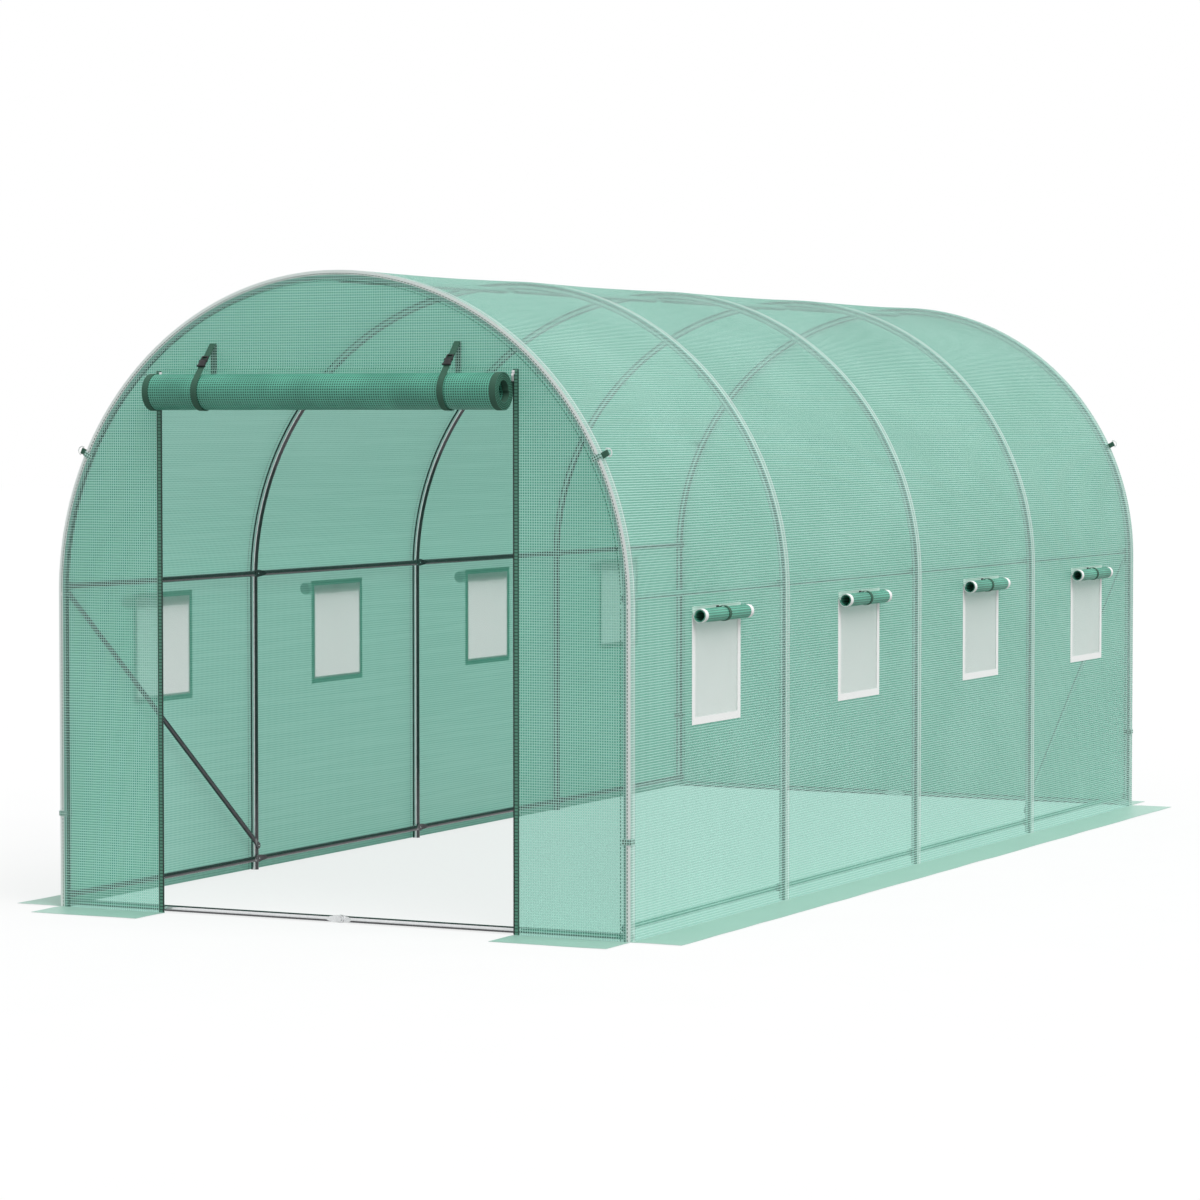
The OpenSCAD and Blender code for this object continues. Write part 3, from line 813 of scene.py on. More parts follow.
def edge_hold(point, doorway):
    """0 on the sewn edges of an end and 1 well inside it."""
    rise = max(0.0, point.z - LEG_H)
    inset = HALF_W - math.hypot(point.x, rise)
    if doorway:
        inset = min(inset, max(abs(point.x) - DOOR_HALF, point.z - DOOR_H))
    held_edge, soft_edge = 0.03, 0.12
    return min(1.0, max(0.0, (inset - held_edge) / soft_edge))


def build_end(settings, name, y, facing, doorway, replaced):
    """An end of the cover in one flat sheet with soft folds."""
    film = settings.film
    bm = bmesh.new()
    end_outline(bm, y)
    if doorway:
        for side in (-1, 1):
            cut_across(bm, (side * DOOR_HALF, 0, 0), ACROSS)
        cut_across(bm, (0, 0, DOOR_H), UP)
        cut_out(bm, in_doorway)
    lattice(bm, END_STEP)
    face_towards(bm, facing * ALONG)
    lay_weave(bm, lambda vert: (vert.co.x, vert.co.z))
    for vert in bm.verts:
        fold = noise.noise(Vector((vert.co.x * 5.0, facing, vert.co.z * 1.1)))
        vert.co.y += facing * film.end_wave * fold * edge_hold(vert.co, doorway)
    end = add_piece(settings, name, bm, "end_weave", replaced)
    area = 2 * HALF_W * LEG_H + math.pi * HALF_W ** 2 / 2
    if doorway:
        area -= 2 * DOOR_HALF * DOOR_H


SKIRTS = ["skirt_left", "skirt_right", "skirt_front_left", "skirt_front_right", "skirt_rear"]


def build_skirt(settings, node):
    """A strip of film spread out on the ground, flat along the wall and a little wavy further out."""
    film = settings.film
    low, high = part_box(node)
    size = high - low
    flat_edge = 0.03
    bm = new_line((low.x, low.y, SKIRT_LIFT), (low.x, high.y, SKIRT_LIFT), round(size.y / SKIRT_STEP))
    drawn_out(bm, bm.edges[:], size.x * ACROSS, round(size.x / SKIRT_STEP))
    face_towards(bm, UP)
    lay_weave(bm, lambda vert: (vert.co.x, vert.co.y))
    for vert in bm.verts:
        out = max(abs(vert.co.x) - WALL_OUT, abs(vert.co.y) + FRONT_OUT)
        wave = 0.5 + noise.noise(Vector((vert.co.x * 5.0, vert.co.y * 5.0, 0.3)))
        vert.co.z += film.skirt_wave * max(0.0, wave) * min(1.0, max(0.0, out) / flat_edge)
    skirt = add_piece(settings, node + "_film", bm, "skirt_weave", [node])
    thicken(skirt, film.skirt_t, 1.0)
    min(size.x, size.y)
    max(size.x, size.y)


# Rolled-up door

def roll_axis(door):
    """The middle of the rolled-up door, in the plane across it."""
    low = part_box("door_roll")[0]
    return Vector((0, low.y + door.roll_r, low.z + door.roll_r))


def roll_line(bm, door, x, thickness):
    """Draws the door's sheet seen from its end: down from its hem, then wound up."""
    axis = roll_axis(door)
    reach = door.roll_r - thickness / 2
    top = bm.verts.new((x, axis.y + reach, axis.z + door.roll_r / 2))
    back = line_to(bm, top, (x, axis.y + reach, axis.z))
    centre = Vector((x, axis.y, axis.z))
    wound_line(bm, back, centre, ACROSS, -door.roll_pitch / 2 * ALONG, door.half_turns, 24)


def ease_roll(bm, door, strap_x):
    """Draws the roll in under its straps and gives it the unevenness of hand-rolled film."""
    axis = roll_axis(door)
    hung_depth, pinch_w, uneven_by = 0.004, 0.03, 0.0009
    for vert in bm.verts:
        spoke = vert.co - axis
        spoke.x = 0
        if spoke.z > 0 and spoke.y > door.roll_r - hung_depth:
            continue
        front = (1 - spoke.normalized().y) / 2
        gap = min(abs(vert.co.x - strap_x), abs(vert.co.x + strap_x))
        pinch = door.pinch * math.exp(-(gap / pinch_w) ** 2)
        turn = math.atan2(spoke.z, spoke.y)
        uneven = uneven_by * noise.noise(Vector((vert.co.x * 6.0, turn * 0.6, 0.2)))
        vert.co -= (pinch + abs(uneven)) * front * spoke / door.roll_r


def build_door(settings):
    """The wound door and the dark binding round its two ends."""
    door = settings.door
    low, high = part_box("door_roll")
    strap_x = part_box("door_straps")[1].x - door.strap_w / 2
    bm = bmesh.new()
    roll_line(bm, door, low.x, door.film_t)
    strip(bm, (high.x - low.x) * ACROSS, 48)
    ease_roll(bm, door, strap_x)
    roll = add_piece(settings, "door_film", bm, "roll_weave", ["door_roll"])
    thicken(roll, door.film_t, 0.0)
    binding_inset = 0.0004
    for name, side in SIDES.items():
        bm = bmesh.new()
        roll_line(bm, door, side * (high.x - binding_inset), door.film_t)
        strip(bm, -side * door.binding_w * ACROSS, 2)
        ease_roll(bm, door, strap_x)
        binding = add_piece(settings, f"door_binding_{name}", bm, "strap_weave")
        thicken(binding, door.binding_t, 0.0)


def build_hem(settings):
    """The single layer of the door from the head of the doorway down to its roll."""
    door = settings.door
    axis = roll_axis(door)
    y = axis.y + door.roll_r - door.film_t / 2
    lap = 0.004
    bm = new_line((-DOOR_HALF, y, axis.z + door.roll_r / 2), (-DOOR_HALF, y, DOOR_H + lap))
    drawn_out(bm, bm.edges[:], 2 * DOOR_HALF * ACROSS, 24)
    lay_weave(bm, lambda vert: (vert.co.x, vert.co.z))
    hem = add_piece(settings, "door_hem", bm, "end_weave")


def strap_places(door):
    """Seam, touching angles and head of a strap, in the plane across the roll."""
    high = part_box("door_straps")[1]
    axis = roll_axis(door)
    reach = door.roll_r + SEAT_GAP + door.strap_t / 2
    seam = Vector((0, FRONT_OUT - SEAT_GAP - door.strap_t / 2, high.z))
    head = Vector((0, high.y - door.strap_t / 2, DOOR_H))
    lean = touch_angle(seam - axis, reach, 1)
    back = touch_angle(head - axis, reach, -1)
    return axis, reach, seam, head, lean, back


def touch_angle(run, reach, side):
    """Angle where a line from the end of run touches a circle round its start."""
    return math.atan2(run.z, run.y) + side * math.acos(reach / math.hypot(run.y, run.z))


def spoke_at(angle, reach):
    """A point of a circle in the plane across the roll."""
    return reach * Vector((0, math.cos(angle), math.sin(angle)))


def build_strap(settings, name, side):
    """A strap from its seam over the front of the roll, under it and up inside the head."""
    door = settings.door
    axis, reach, seam, head, lean, back = strap_places(door)
    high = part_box("door_straps")[1]
    start = Vector((side * (high.x - door.strap_w / 2) - door.strap_w / 2, 0, 0))
    bm = bmesh.new()
    first = bm.verts.new(start + seam)
    foot = line_to(bm, first, start + axis + spoke_at(lean, reach))
    under = arc_from(bm, foot, start + axis, ACROSS, 2 * math.pi + back - lean, 40)
    over = line_to(bm, under, start + head)
    line_to(bm, over, start + Vector((0, head.y, high.z)))
    strip(bm, door.strap_w * ACROSS, 1)
    strap = add_piece(settings, f"door_strap_{name}", bm, "strap_weave", ["door_straps"])
    thicken(strap, door.strap_t, 0.0)


def build_buckle(settings, name, side):
    """A side-release buckle: socket with finger openings, prongs in them, and the plug with its slot."""
    door = settings.door
    axis, reach, seam, _, lean, _ = strap_places(door)
    foot = axis + spoke_at(lean, reach)
    run = (seam - foot).normalized()
    out = Vector((0, -run.z, run.y))
    share_up, lift = 0.46, door.strap_t / 2 + 0.0036
    spot = foot + share_up * (seam - foot) + lift * out
    spot.x = side * (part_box("door_straps")[1].x - door.strap_w / 2)
    turn = Matrix((ACROSS, run, ACROSS.cross(run))).transposed().to_4x4()
    socket, rim, prong = (0.018, 0.024, 0.007), (0.029, 0.0045, 0.007), (0.005, 0.014, 0.0042)
    arm, bar, rib = (0.004, 0.016, 0.005), (0.023, 0.003, 0.005), (0.012, 0.0012, 0.0012)
    bm = bmesh.new()
    block(bm, socket, (0, -0.008, 0), 0.0015)
    for along in (-0.018, 0.0015):
        block(bm, rim, (0, along, 0), 0.0015)
    for edge in (-1, 1):
        block(bm, prong, (edge * 0.0102, -0.008, 0), 0.0018)
        block(bm, arm, (edge * 0.0095, 0.012, -0.0005), 0.0012)
    for along in (0.0075, 0.0195):
        block(bm, bar, (0, along, -0.0005), 0.001)
    for along in (-0.012, -0.008, -0.004):
        block(bm, rib, (0, along, 0.0035), 0.0004)
    bmesh.ops.transform(bm, matrix=Matrix.Translation(spot) @ turn, verts=bm.verts)
    bmesh.ops.recalc_face_normals(bm, faces=bm.faces)
    add_hard_piece(settings, f"door_buckle_{name}", bm, "buckle_plastic", ["door_buckles"])


def build_zip(settings, name, side):
    """A zip tape up one edge of the doorway, with its coil and a slider at the top."""
    door = settings.door
    node = f"zip_{name}"
    low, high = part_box(node)
    face_y, tape_y = low.y, (low.y + high.y) / 2
    tape_t, coil_inset, coil_end, slider_drop = 0.0012, 0.0016, 0.012, 0.010
    bm = new_line((low.x, tape_y, low.z), (low.x, tape_y, high.z), 40)
    drawn_out(bm, bm.edges[:], door.zip_w * ACROSS, 2)
    lay_weave(bm, lambda vert: (vert.co.x - low.x, vert.co.z))
    face_towards(bm, -ALONG)
    tape = add_piece(settings, f"{node}_tape", bm, "zip_weave", [node])
    thicken(tape, tape_t, 0.0)
    inner = side * (DOOR_HALF + coil_inset)
    tooth, slider = (0.0036, 0.0020, 0.0017), (0.009, 0.0055, 0.013)
    bridge, pull = (0.003, 0.0045, 0.006), (0.0075, 0.0014, 0.024)
    bm = bmesh.new()
    for i in range(int((high.z - low.z - coil_end) / door.tooth_pitch)):
        place = Vector((inner, face_y - 0.0006, low.z + (i + 1) * door.tooth_pitch))
        block(bm, tooth, place, 0.0)
    add_hard_piece(settings, f"{node}_coil", bm, "buckle_plastic")
    bm = bmesh.new()
    top = high.z - slider_drop
    block(bm, slider, (inner, face_y - 0.0016, top), 0.0014)
    block(bm, bridge, (inner, face_y - 0.0055, top), 0.001)
    block(bm, pull, (inner, face_y - 0.0068, top - 0.014), 0.0006)
    add_hard_piece(settings, f"{node}_slider", bm, "zinc_bolt")


# Windows

def build_screen(settings, name, side, i):
    """The insect screen in one window, a little inside the wall."""
    behind, belly, margin = 0.0005, 0.004, 0.006
    x, y = side * (HALF_W - behind), WINDOW_Y[i] - WINDOW_W / 2 - margin
    bm = new_line((x, y, SILL_Z - margin), (x, y, HEAD_Z + margin), 11)
    drawn_out(bm, bm.edges[:], (WINDOW_W + 2 * margin) * ALONG, 12)
    lay_weave(bm, lambda vert: (vert.co.y, vert.co.z))
    face_towards(bm, side * ACROSS)
    for vert in bm.verts:
        reach = max(abs(vert.co.y - WINDOW_Y[i]), abs(vert.co.z - (SILL_Z + HEAD_Z) / 2)) / WINDOW_W
        vert.co.x -= side * belly * max(0.0, 1 - (2 * reach) ** 2)
    screen = add_piece(settings, f"screen_{name}_{i + 1}", bm, "screen_mesh",
                       [f"window_screens_{name}"])


def build_tapes(settings, name, side):
    """White tape up both sides and along the foot of every window of one wall."""
    windows = settings.windows
    bm = bmesh.new()
    proud = 0.0002
    x = side * (HALF_W + proud)
    tape = windows.tape_w
    for y in WINDOW_Y:
        outer = WINDOW_W / 2 + tape
        corner = bm.verts.new((x, y - outer, SILL_Z - tape))
        across = line_to(bm, corner, (x, y + outer, SILL_Z - tape))
        base = next(iter(set(corner.link_edges) & set(across.link_edges)))
        drawn_out(bm, [base], (HEAD_Z - SILL_Z + tape) * UP, 1)
    for y in WINDOW_Y:
        for edge in (-1, 1):
            cut_across(bm, (0, y + edge * WINDOW_W / 2, 0), ALONG)
    cut_across(bm, (0, 0, SILL_Z), UP)
    cut_out(bm, in_window)
    face_towards(bm, side * ACROSS)
    tapes = add_hard_piece(settings, f"tapes_{name}", bm, "hook_nap",
                           [f"window_tapes_{name}"])
    thicken(tapes, windows.tape_t, 1.0)


def flap_length(windows):
    """Length of a rolled-up flap: over its window and the tapes beside it."""
    return WINDOW_W + 2 * windows.tape_w


def flap_axis(windows):
    """The middle of a rolled-up flap of the right wall, in the plane across it."""
    low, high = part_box("window_flaps_right")
    return Vector((high.x - windows.flap_r, 0, low.z + windows.flap_r))


def build_flap(settings, name, side, i):
    """A wound flap with its header up the wall, and white tape at both ends of the roll."""
    windows = settings.windows
    axis = flap_axis(windows)
    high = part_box("window_flaps_right")[1]
    half = flap_length(windows) / 2
    start = Vector((0, WINDOW_Y[i] - half, 0))
    reach = windows.flap_r - windows.flap_t / 2
    header_off, header_h = 0.001, 0.012
    bm = bmesh.new()
    top = bm.verts.new(start + Vector((HALF_W + header_off, 0, high.z)))
    lower = line_to(bm, top, start + Vector((HALF_W + header_off, 0, high.z - header_h)))
    back = line_to(bm, lower, start + axis - reach * ACROSS)
    wound_line(bm, back, start + axis, ALONG, windows.flap_pitch / 2 * ACROSS, windows.half_turns, 16)
    first_turn = high.z - axis.z + math.pi * (2 * reach - windows.flap_pitch / 2) + windows.flap_t
    strip(bm, 2 * half * ALONG, 18)
    run = bm.verts.layers.float["run"]
    for edge in (-1, 1):
        cut_across(bm, (0, WINDOW_Y[i] + edge * (half - windows.edge_w), 0), ALONG)
    for face in bm.faces:
        spot = face.calc_center_median() - axis
        outer = max(vert[run] for vert in face.verts) < first_turn
        ended = outer and abs(spot.y - WINDOW_Y[i]) > half - windows.edge_w
        headed = spot.z > 0 and spot.x < 0.001 - reach
        face.material_index = 2 if headed else 1 if ended else 0
    mirrored(bm, side)
    flap = add_piece(settings, f"flap_{name}_{i + 1}", bm, "roll_weave",
                     [f"window_flaps_{name}"])
    flap.data.materials.append(finish_of("hook_nap", settings))
    flap.data.materials.append(finish_of("header_weave", settings))
    thicken(flap, windows.flap_t, 0.0)


def build_tie(settings, name, side, i):
    """The tie round a rolled-up flap, with a small toggle beside its free end."""
    windows = settings.windows
    axis = flap_axis(windows)
    reach = windows.flap_r + SEAT_GAP + windows.tie_t / 2
    start = Vector((0, WINDOW_Y[i] - windows.tie_w / 2, 0))
    sewn_h, sweep = 0.014, math.radians(305)
    bm = bmesh.new()
    top = bm.verts.new(start + Vector((axis.x - reach, 0, axis.z + sewn_h)))
    back = line_to(bm, top, start + axis - reach * ACROSS)
    arc_from(bm, back, start + axis, ALONG, -sweep, 40)
    strip(bm, windows.tie_w * ALONG, 1)
    mirrored(bm, side)
    tie = add_piece(settings, f"flap_tie_{name}_{i + 1}", bm, "strap_weave",
                    [f"window_ties_{name}"])
    thicken(tie, windows.tie_t, 0.0)
    bm = bmesh.new()
    end = sweep - math.pi * 3 / 2
    free = axis + reach * Vector((-math.sin(end), 0, math.cos(end)))
    free.y = WINDOW_Y[i] - windows.tie_w
    toggle, bar = (0.006, 0.013, 0.011), (0.003, windows.tie_w, 0.003)
    block(bm, toggle, free, 0.0022)
    block(bm, bar, free + 0.6 * windows.tie_w * ALONG, 0.0008)
    mirrored(bm, side)
    add_hard_piece(settings, f"flap_toggle_{name}_{i + 1}", bm, "buckle_plastic")


# Trim and fixings

def corners():
    """The four corners of the tunnel, as signs of X and Y."""
    return [(x, y) for y in (-1, 1) for x in (-1, 1)]


def build_guy_loops(settings):
    """Webbing folded round the bar of each guy ring, with its two ends sewn to the cover."""
    trim = settings.trim
    bm = bmesh.new()
    eye = trim.wire_r + SEAT_GAP + trim.guy_t / 2
    for x, y in corners():
        part = bmesh.new()
        low = part.verts.new((0, -eye, -trim.guy_w / 2))
        near = line_to(part, low, (trim.guy_l, -eye, -trim.guy_w / 2))
        far = arc_from(part, near, (trim.guy_l, 0, -trim.guy_w / 2), UP, math.pi, 16)
        line_to(part, far, (0, eye, -trim.guy_w / 2))
        strip(part, trim.guy_w * UP, 1)
        spot = Matrix.Translation((0, y * HOOP_Y[-1], LEG_H)) @ Matrix.Rotation(-trim.guy_angle, 4, "Y")
        spot = spot @ Matrix.Translation((WALL_OUT, 0, 0))
        bmesh.ops.transform(part, matrix=spot, verts=part.verts)
        mirrored(part, x)
        take_in(bm, part)
    loops = add_piece(settings, "guy_loop_webbing", bm, "strap_weave", ["guy_loops"])
    thicken(loops, trim.guy_t, 0.0)


def take_in(bm, part):
    """Adds the mesh of a part to a piece."""
    mesh = bpy.data.meshes.new("part")
    part.to_mesh(mesh)
    part.free()
    bm.from_mesh(mesh)
    bpy.data.meshes.remove(mesh)


def to_corner(part, x, y):
    """Turns a part of the front right corner into one of another corner, by the signs of X and Y."""
    bmesh.ops.scale(part, vec=(x, -y, 1), verts=part.verts)
    bmesh.ops.recalc_face_normals(part, faces=part.faces)


def corner_strip(trim):
    """A strip at ground level, sewn round the front right corner of the cover."""
    part = bmesh.new()
    out = 0.0008
    first = part.verts.new((ARCH_R - TUBE_R, FRONT_OUT - out, 0))
    bend = line_to(part, first, (WALL_OUT + out, FRONT_OUT - out, 0))
    line_to(part, bend, (WALL_OUT + out, HOOP_Y[0] + TUBE_R, 0))
    strip(part, trim.tie_w * UP, 1)
    return part


def build_post_ties(settings):
    """Ties round the inner side of each end post, and the sewn end of each on the cover's corner."""
    trim = settings.trim
    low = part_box("post_ties")[0]
    bm = bmesh.new()
    reach = TUBE_R + SEAT_GAP + trim.tie_t / 2
    post = Vector((ARCH_R, HOOP_Y[0], low.z))
    start, sweep, tab_t = math.radians(35), math.radians(200), 0.0012
    for x, y in corners():
        part = bmesh.new()
        first = part.verts.new(post + reach * Vector((math.cos(start), math.sin(start), 0)))
        arc_from(part, first, post, UP, sweep, 28)
        strip(part, trim.tie_w * UP, 1)
        to_corner(part, x, y)
        take_in(bm, part)
    ties = add_piece(settings, "post_tie_webbing", bm, "strap_weave", ["post_ties"])
    thicken(ties, trim.tie_t, 0.0)
    bm = bmesh.new()
    up_arch = Matrix.Translation((0, 0, LEG_H)) @ Matrix.Rotation(-trim.guy_angle, 4, "Y")
    spots = [Matrix.Translation((0, 0, low.z)), up_arch @ Matrix.Translation((0, 0, -trim.tie_w / 2))]
    for x, y in corners():
        for spot in spots:
            part = corner_strip(trim)
            bmesh.ops.transform(part, matrix=spot, verts=part.verts)
            to_corner(part, x, y)
            take_in(bm, part)
    tabs = add_hard_piece(settings, "corner_tape", bm, "covered_tie")
    thicken(tabs, tab_t, 0.0)


def outline_stitches(inset, pitch):
    """Places and directions of stitches along the outline of an end, at an inset from its edge."""
    reach = HALF_W - inset
    for side in (-1, 1):
        for i in range(int(LEG_H / pitch)):
            yield Vector((side * reach, 0, (i + 0.5) * pitch)), UP
    count = int(math.pi * reach / pitch)
    for i in range(count):
        angle = math.pi * (i + 0.5) / count
        yield (Vector((reach * math.cos(angle), 0, LEG_H + reach * math.sin(angle))),
               Vector((-math.sin(angle), 0, math.cos(angle))))


def build_seams(settings):
    """Two rows of stitches round the edge of each end, on both sides of its hoop."""
    trim = settings.trim
    outer_row, inner_row, proud = 0.010, 2 * TUBE_R + 0.006, 0.0006
    for name, face_y, facing in (("front", FRONT_Y, -1), ("rear", REAR_Y, 1)):
        bm = bmesh.new()
        for inset in (outer_row, inner_row):
            for place, direction in outline_stitches(inset, trim.stitch_pitch):
                place.y = face_y + facing * proud
                block(bm, (trim.stitch_w, trim.stitch_w, trim.stitch_l), place, 0.0, towards(direction))
        add_hard_piece(settings, f"seam_{name}", bm, "sewing_thread")


def add_bolt(bm, place, direction, diameter):
    """Adds a washer, a hexagon nut and the rounded end of a bolt, standing on a face."""
    stack = [(16, 1.15 * diameter, 1.15 * diameter, 0.2 * diameter),
             (6, 0.95 * diameter, 0.95 * diameter, 0.75 * diameter),
             (12, 0.5 * diameter, 0.35 * diameter, 0.4 * diameter)]
    height = 0.0
    for segments, low_r, high_r, depth in stack:
        spot = Matrix.Translation(place + (height + depth / 2) * direction) @ towards(direction)
        bmesh.ops.create_cone(bm, cap_ends=True, segments=segments, radius1=low_r, radius2=high_r,
                              depth=depth, matrix=spot)
        height += depth


def build_bolts(settings):
    """Bolts through every flattened tube end, and through the joints in the arches."""
    steel = settings.steel
    d, flat = steel.bolt_d, steel.flat_t
    bm = bmesh.new()
    for i, y in enumerate(HOOP_Y):
        layers = 1 if i in (0, len(HOOP_Y) - 1) else 2
        for node in ("purlin_right", "base_rail_right"):
            low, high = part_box(node)
            for side in (-1, 1):
                place = Vector((side * (high.x - layers * flat), y, (low.z + high.z) / 2))
                add_bolt(bm, place, -side * ACROSS, d)
        ridge = Vector((0, y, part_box("ridge_beam")[1].z - layers * flat))
        add_bolt(bm, ridge, -UP, d)
        for side in (-1, 1):
            spoke = Vector((side * math.cos(math.pi / 4), 0, math.sin(math.pi / 4)))
            joint = Vector((0, y, LEG_H)) + (ARCH_R - TUBE_R) * spoke
            add_bolt(bm, joint, -spoke, d)
    for node, facing in (("base_rail_front", 1), ("base_rail_rear", -1)):
        low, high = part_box(node)
        seat = low.y if facing > 0 else high.y
        for x, layers in ((-ARCH_R, 1), (0, 2), (ARCH_R, 1)):
            add_bolt(bm, Vector((x, seat + facing * layers * flat, (low.z + high.z) / 2)), facing * ALONG, d)
    low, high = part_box("brace_front_left")
    bolt_inset = 0.0108
    for side, y_sign in ((-1, -1), (1, 1)):
        inner = side * (-low.x - flat)
        add_bolt(bm, Vector((inner, y_sign * HOOP_Y[-1], high.z - bolt_inset)), -side * ACROSS, d)
        add_bolt(bm, Vector((inner, y_sign * HOOP_Y[-2], low.z + bolt_inset)), -side * ACROSS, d)
    add_hard_piece(settings, "bolts", bm, "zinc_bolt")


def build_joint_rings(settings):
    """The rolled edge where the two halves of an arch slide into each other."""
    ring_r, ring_w, past_bolt = TUBE_R + 0.00025, 0.003, 0.045
    bm = bmesh.new()
    for y in HOOP_Y:
        for side in (-1, 1):
            angle = math.pi / 2 - side * math.pi / 4 - side * past_bolt
            spoke = Vector((math.cos(angle), 0, math.sin(angle)))
            tangent = Vector((-math.sin(angle), 0, math.cos(angle)))
            spot = Matrix.Translation(Vector((0, y, LEG_H)) + ARCH_R * spoke) @ towards(tangent)
            bmesh.ops.create_cone(bm, cap_ends=True, segments=32, radius1=ring_r, radius2=ring_r,
                                  depth=ring_w, matrix=spot)
    add_hard_piece(settings, "arch_joints", bm, "zinc_bolt")


# Stage

def add_lamp(stage):
    """A broad soft lamp above and to the right of the tunnel's front."""
    shines = Vector((-0.55, 0.2, -0.8))
    lamp = bpy.data.lights.new("lamp", "SUN")
    lamp.energy = stage.lamp
    lamp.angle = stage.lamp_spread
    holder = bpy.data.objects.new("lamp", lamp)
    holder.rotation_euler = shines.to_track_quat("-Z", "Y").to_euler()
    bpy.context.scene.collection.objects.link(holder)


def build_world(stage):
    """Soft light from all round, seen as plain white by the camera and in reflections."""
    world = bpy.data.worlds.new("studio")
    bpy.context.scene.world = world
    tree = NodeTree(world)
    white = {"Color": rgba((1.0, 1.0, 1.0)), "Strength": tree.ramp(tree.seen(), 0.0, 1.0, stage.ambient, 1.0)}
    light = tree.add("ShaderNodeBackground", white).outputs[0]
    tree.add("ShaderNodeOutputWorld", {"Surface": light})


def floor_finish(stage):
    """Pale floor that keeps a soft shadow, whitened where the camera sees it."""
    tree = new_finish("studio_floor")
    dust = tree.speckle(tree.place(), 3.0, 2.0)
    shade = tree.blend(dust, (0.35, 0.35, 0.35), (0.37, 0.37, 0.37))
    lit = tree.add("ShaderNodeBsdfDiffuse", {"Color": shade}).outputs[0]
    glow = 1.56
    white = tree.add("ShaderNodeEmission", {"Color": rgba((1.0, 1.0, 1.0)), "Strength": glow}).outputs[0]
    part = tree.math("MULTIPLY", tree.seen(), stage.floor_white)
    return tree.finish(tree.mix(part, lit, white))


def build_stage(settings):
    """Floor, lamp, world and camera."""
    stage = settings.stage
    scene = bpy.context.scene
    floor_size, floor_drop = 60.0, 0.0005
    bm = bmesh.new()
    bmesh.ops.create_grid(bm, x_segments=2, y_segments=2, size=floor_size)
    mesh = bpy.data.meshes.new("floor")
    bm.to_mesh(mesh)
    bm.free()
    mesh.materials.append(floor_finish(stage))
    floor = bpy.data.objects.new("floor", mesh)
    floor.location.z = -floor_drop
    scene.collection.objects.link(floor)
    build_world(stage)
    add_lamp(stage)
    camera = bpy.data.cameras.new("camera")
    camera.lens = stage.lens
    camera.sensor_width = 36.0
    camera.clip_end = 200.0
    holder = bpy.data.objects.new("camera", camera)
    holder.location = stage.camera_place
    holder.rotation_euler = (math.pi / 2 - stage.camera_pitch, 0, stage.camera_yaw)
    scene.collection.objects.link(holder)
    scene.camera = holder
    scene.view_settings.view_transform = "Standard"


# Operators

class GREENHOUSE_OT_stage(Operator):
    """Set up the floor, the lamp and the camera"""

    bl_idname = "greenhouse.stage"
    bl_label = "Stage"

    def execute(self, context):
        build_stage(Settings(context.scene))
        return {"FINISHED"}


class GREENHOUSE_OT_steel(Operator):
    """Give the tubes and rings their finish, and add the bolts and arch joints"""

    bl_idname = "greenhouse.steel"
    bl_label = "Steel Frame"

    def execute(self, context):
        settings = Settings(context.scene)
        for finish, nodes in STEEL_NODES.items():
            for node in nodes:
                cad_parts[node].material_slots[0].material = finish_of(finish, settings)
        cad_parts["guy_rings"].material_slots[0].material = finish_of("ring_plastic", settings)
        build_bolts(settings)
        build_joint_rings(settings)
        return {"FINISHED"}


class GREENHOUSE_OT_cover(Operator):
    """Build the film over the hoops, the two ends and the skirts"""

    bl_idname = "greenhouse.cover"
    bl_label = "Film Cover"

    def execute(self, context):
        settings = Settings(context.scene)
        build_cover(settings)
        build_end(settings, "front_film", FRONT_Y, -1, True,
                  ["front_panel_left", "front_panel_right", "front_panel_top"])
        build_end(settings, "rear_film", REAR_Y, 1, False, ["rear_panel"])
        for node in SKIRTS:
            build_skirt(settings, node)
        return {"FINISHED"}


class GREENHOUSE_OT_door(Operator):
    """Build the rolled-up door with its straps, buckles and zips"""

    bl_idname = "greenhouse.door"
    bl_label = "Rolled-up Door"

    def execute(self, context):
        settings = Settings(context.scene)
        build_door(settings)
        build_hem(settings)
        for name, side in SIDES.items():
            build_strap(settings, name, side)
            build_buckle(settings, name, side)
            build_zip(settings, name, side)
        return {"FINISHED"}


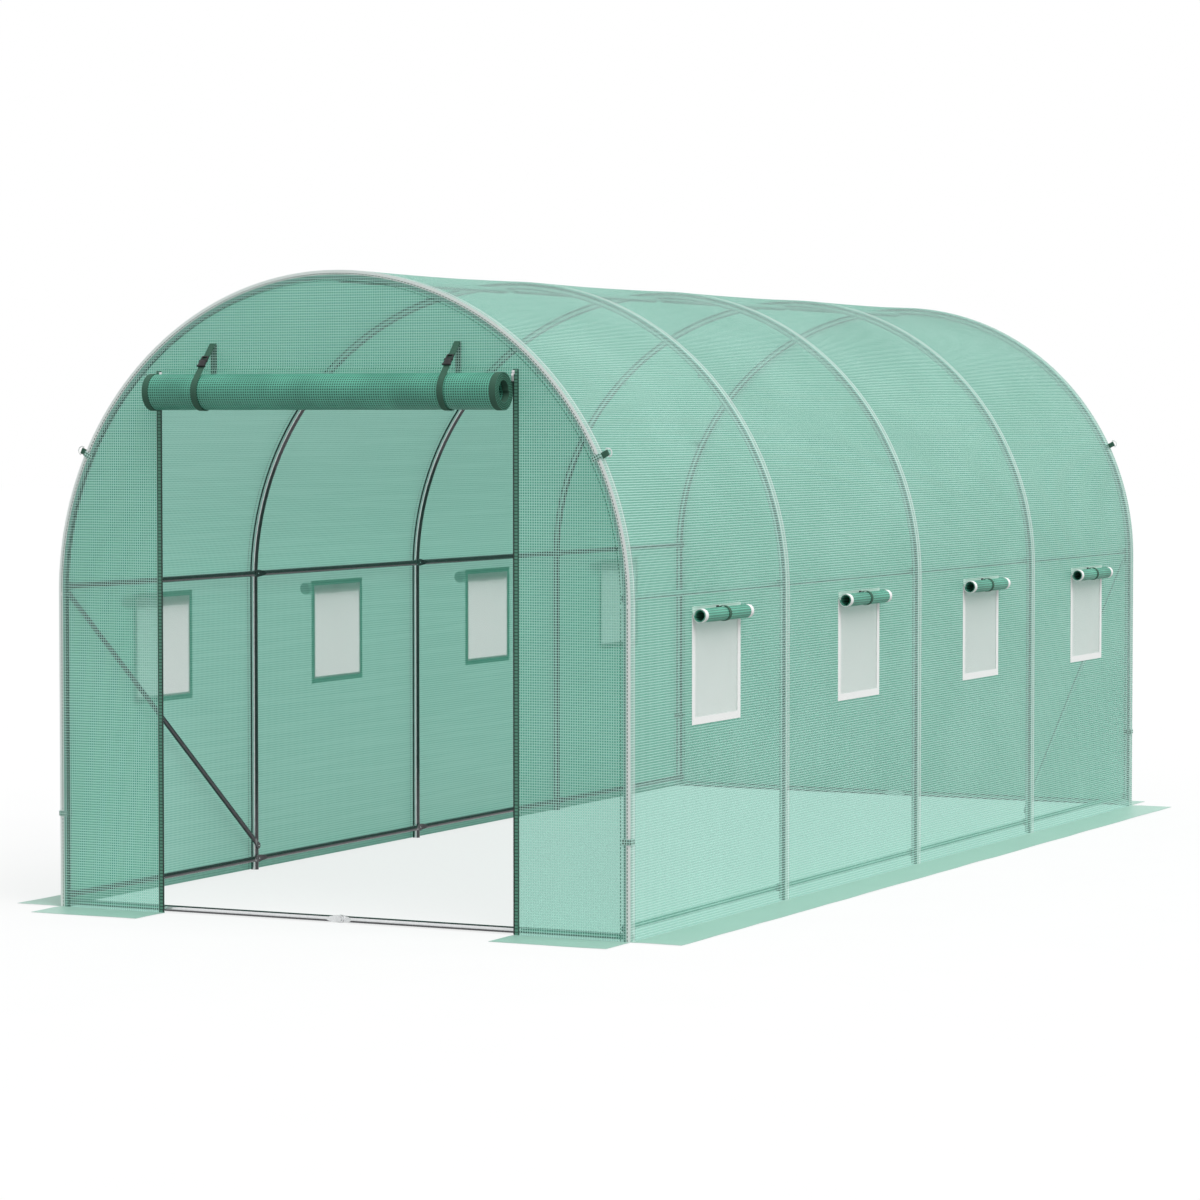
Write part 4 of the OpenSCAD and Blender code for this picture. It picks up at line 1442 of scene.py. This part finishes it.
class GREENHOUSE_OT_windows(Operator):
    """Build the windows: screens, tapes, rolled-up flaps and their ties"""

    bl_idname = "greenhouse.windows"
    bl_label = "Windows"

    def execute(self, context):
        settings = Settings(context.scene)
        for name, side in SIDES.items():
            build_tapes(settings, name, side)
            for i in range(len(WINDOW_Y)):
                build_screen(settings, name, side, i)
                build_flap(settings, name, side, i)
                build_tie(settings, name, side, i)
        return {"FINISHED"}


class GREENHOUSE_OT_trim(Operator):
    """Build the guy loops, the corner ties and the seams"""

    bl_idname = "greenhouse.trim"
    bl_label = "Trim"

    def execute(self, context):
        settings = Settings(context.scene)
        build_guy_loops(settings)
        build_post_ties(settings)
        build_seams(settings)
        return {"FINISHED"}


class GREENHOUSE_PT_panel(Panel):
    """Settings and build steps of the greenhouse"""

    bl_idname = "GREENHOUSE_PT_panel"
    bl_label = "Greenhouse"
    bl_space_type = "VIEW_3D"
    bl_region_type = "UI"
    bl_category = "Greenhouse"

    def draw(self, context):
        layout = self.layout
        for operator in OPERATORS:
            layout.operator(operator.bl_idname)
        for name, group in GROUPS.items():
            box = layout.box()
            box.label(text=group.__doc__)
            settings = getattr(context.scene, name)
            for key in group.__annotations__:
                box.prop(settings, key)


GROUPS = {
    "greenhouse_film": FilmSettings,
    "greenhouse_door": DoorSettings,
    "greenhouse_windows": WindowSettings,
    "greenhouse_steel": SteelSettings,
    "greenhouse_trim": TrimSettings,
    "greenhouse_stage": StageSettings,
}
OPERATORS = [
    GREENHOUSE_OT_stage,
    GREENHOUSE_OT_steel,
    GREENHOUSE_OT_cover,
    GREENHOUSE_OT_door,
    GREENHOUSE_OT_windows,
    GREENHOUSE_OT_trim,
]


def register():
    for name, group in GROUPS.items():
        bpy.utils.register_class(group)
        setattr(bpy.types.Scene, name, PointerProperty(type=group))
    for item in [*OPERATORS, GREENHOUSE_PT_panel]:
        bpy.utils.register_class(item)


def unregister():
    for item in [GREENHOUSE_PT_panel, *reversed(OPERATORS)]:
        bpy.utils.unregister_class(item)
    for name, group in GROUPS.items():
        delattr(bpy.types.Scene, name)
        bpy.utils.unregister_class(group)


def main():
    """Builds everything in order."""
    register()
    bpy.ops.greenhouse.stage()
    bpy.ops.greenhouse.steel()
    bpy.ops.greenhouse.cover()
    bpy.ops.greenhouse.door()
    bpy.ops.greenhouse.windows()
    bpy.ops.greenhouse.trim()


if __name__ == "__main__":
    main()
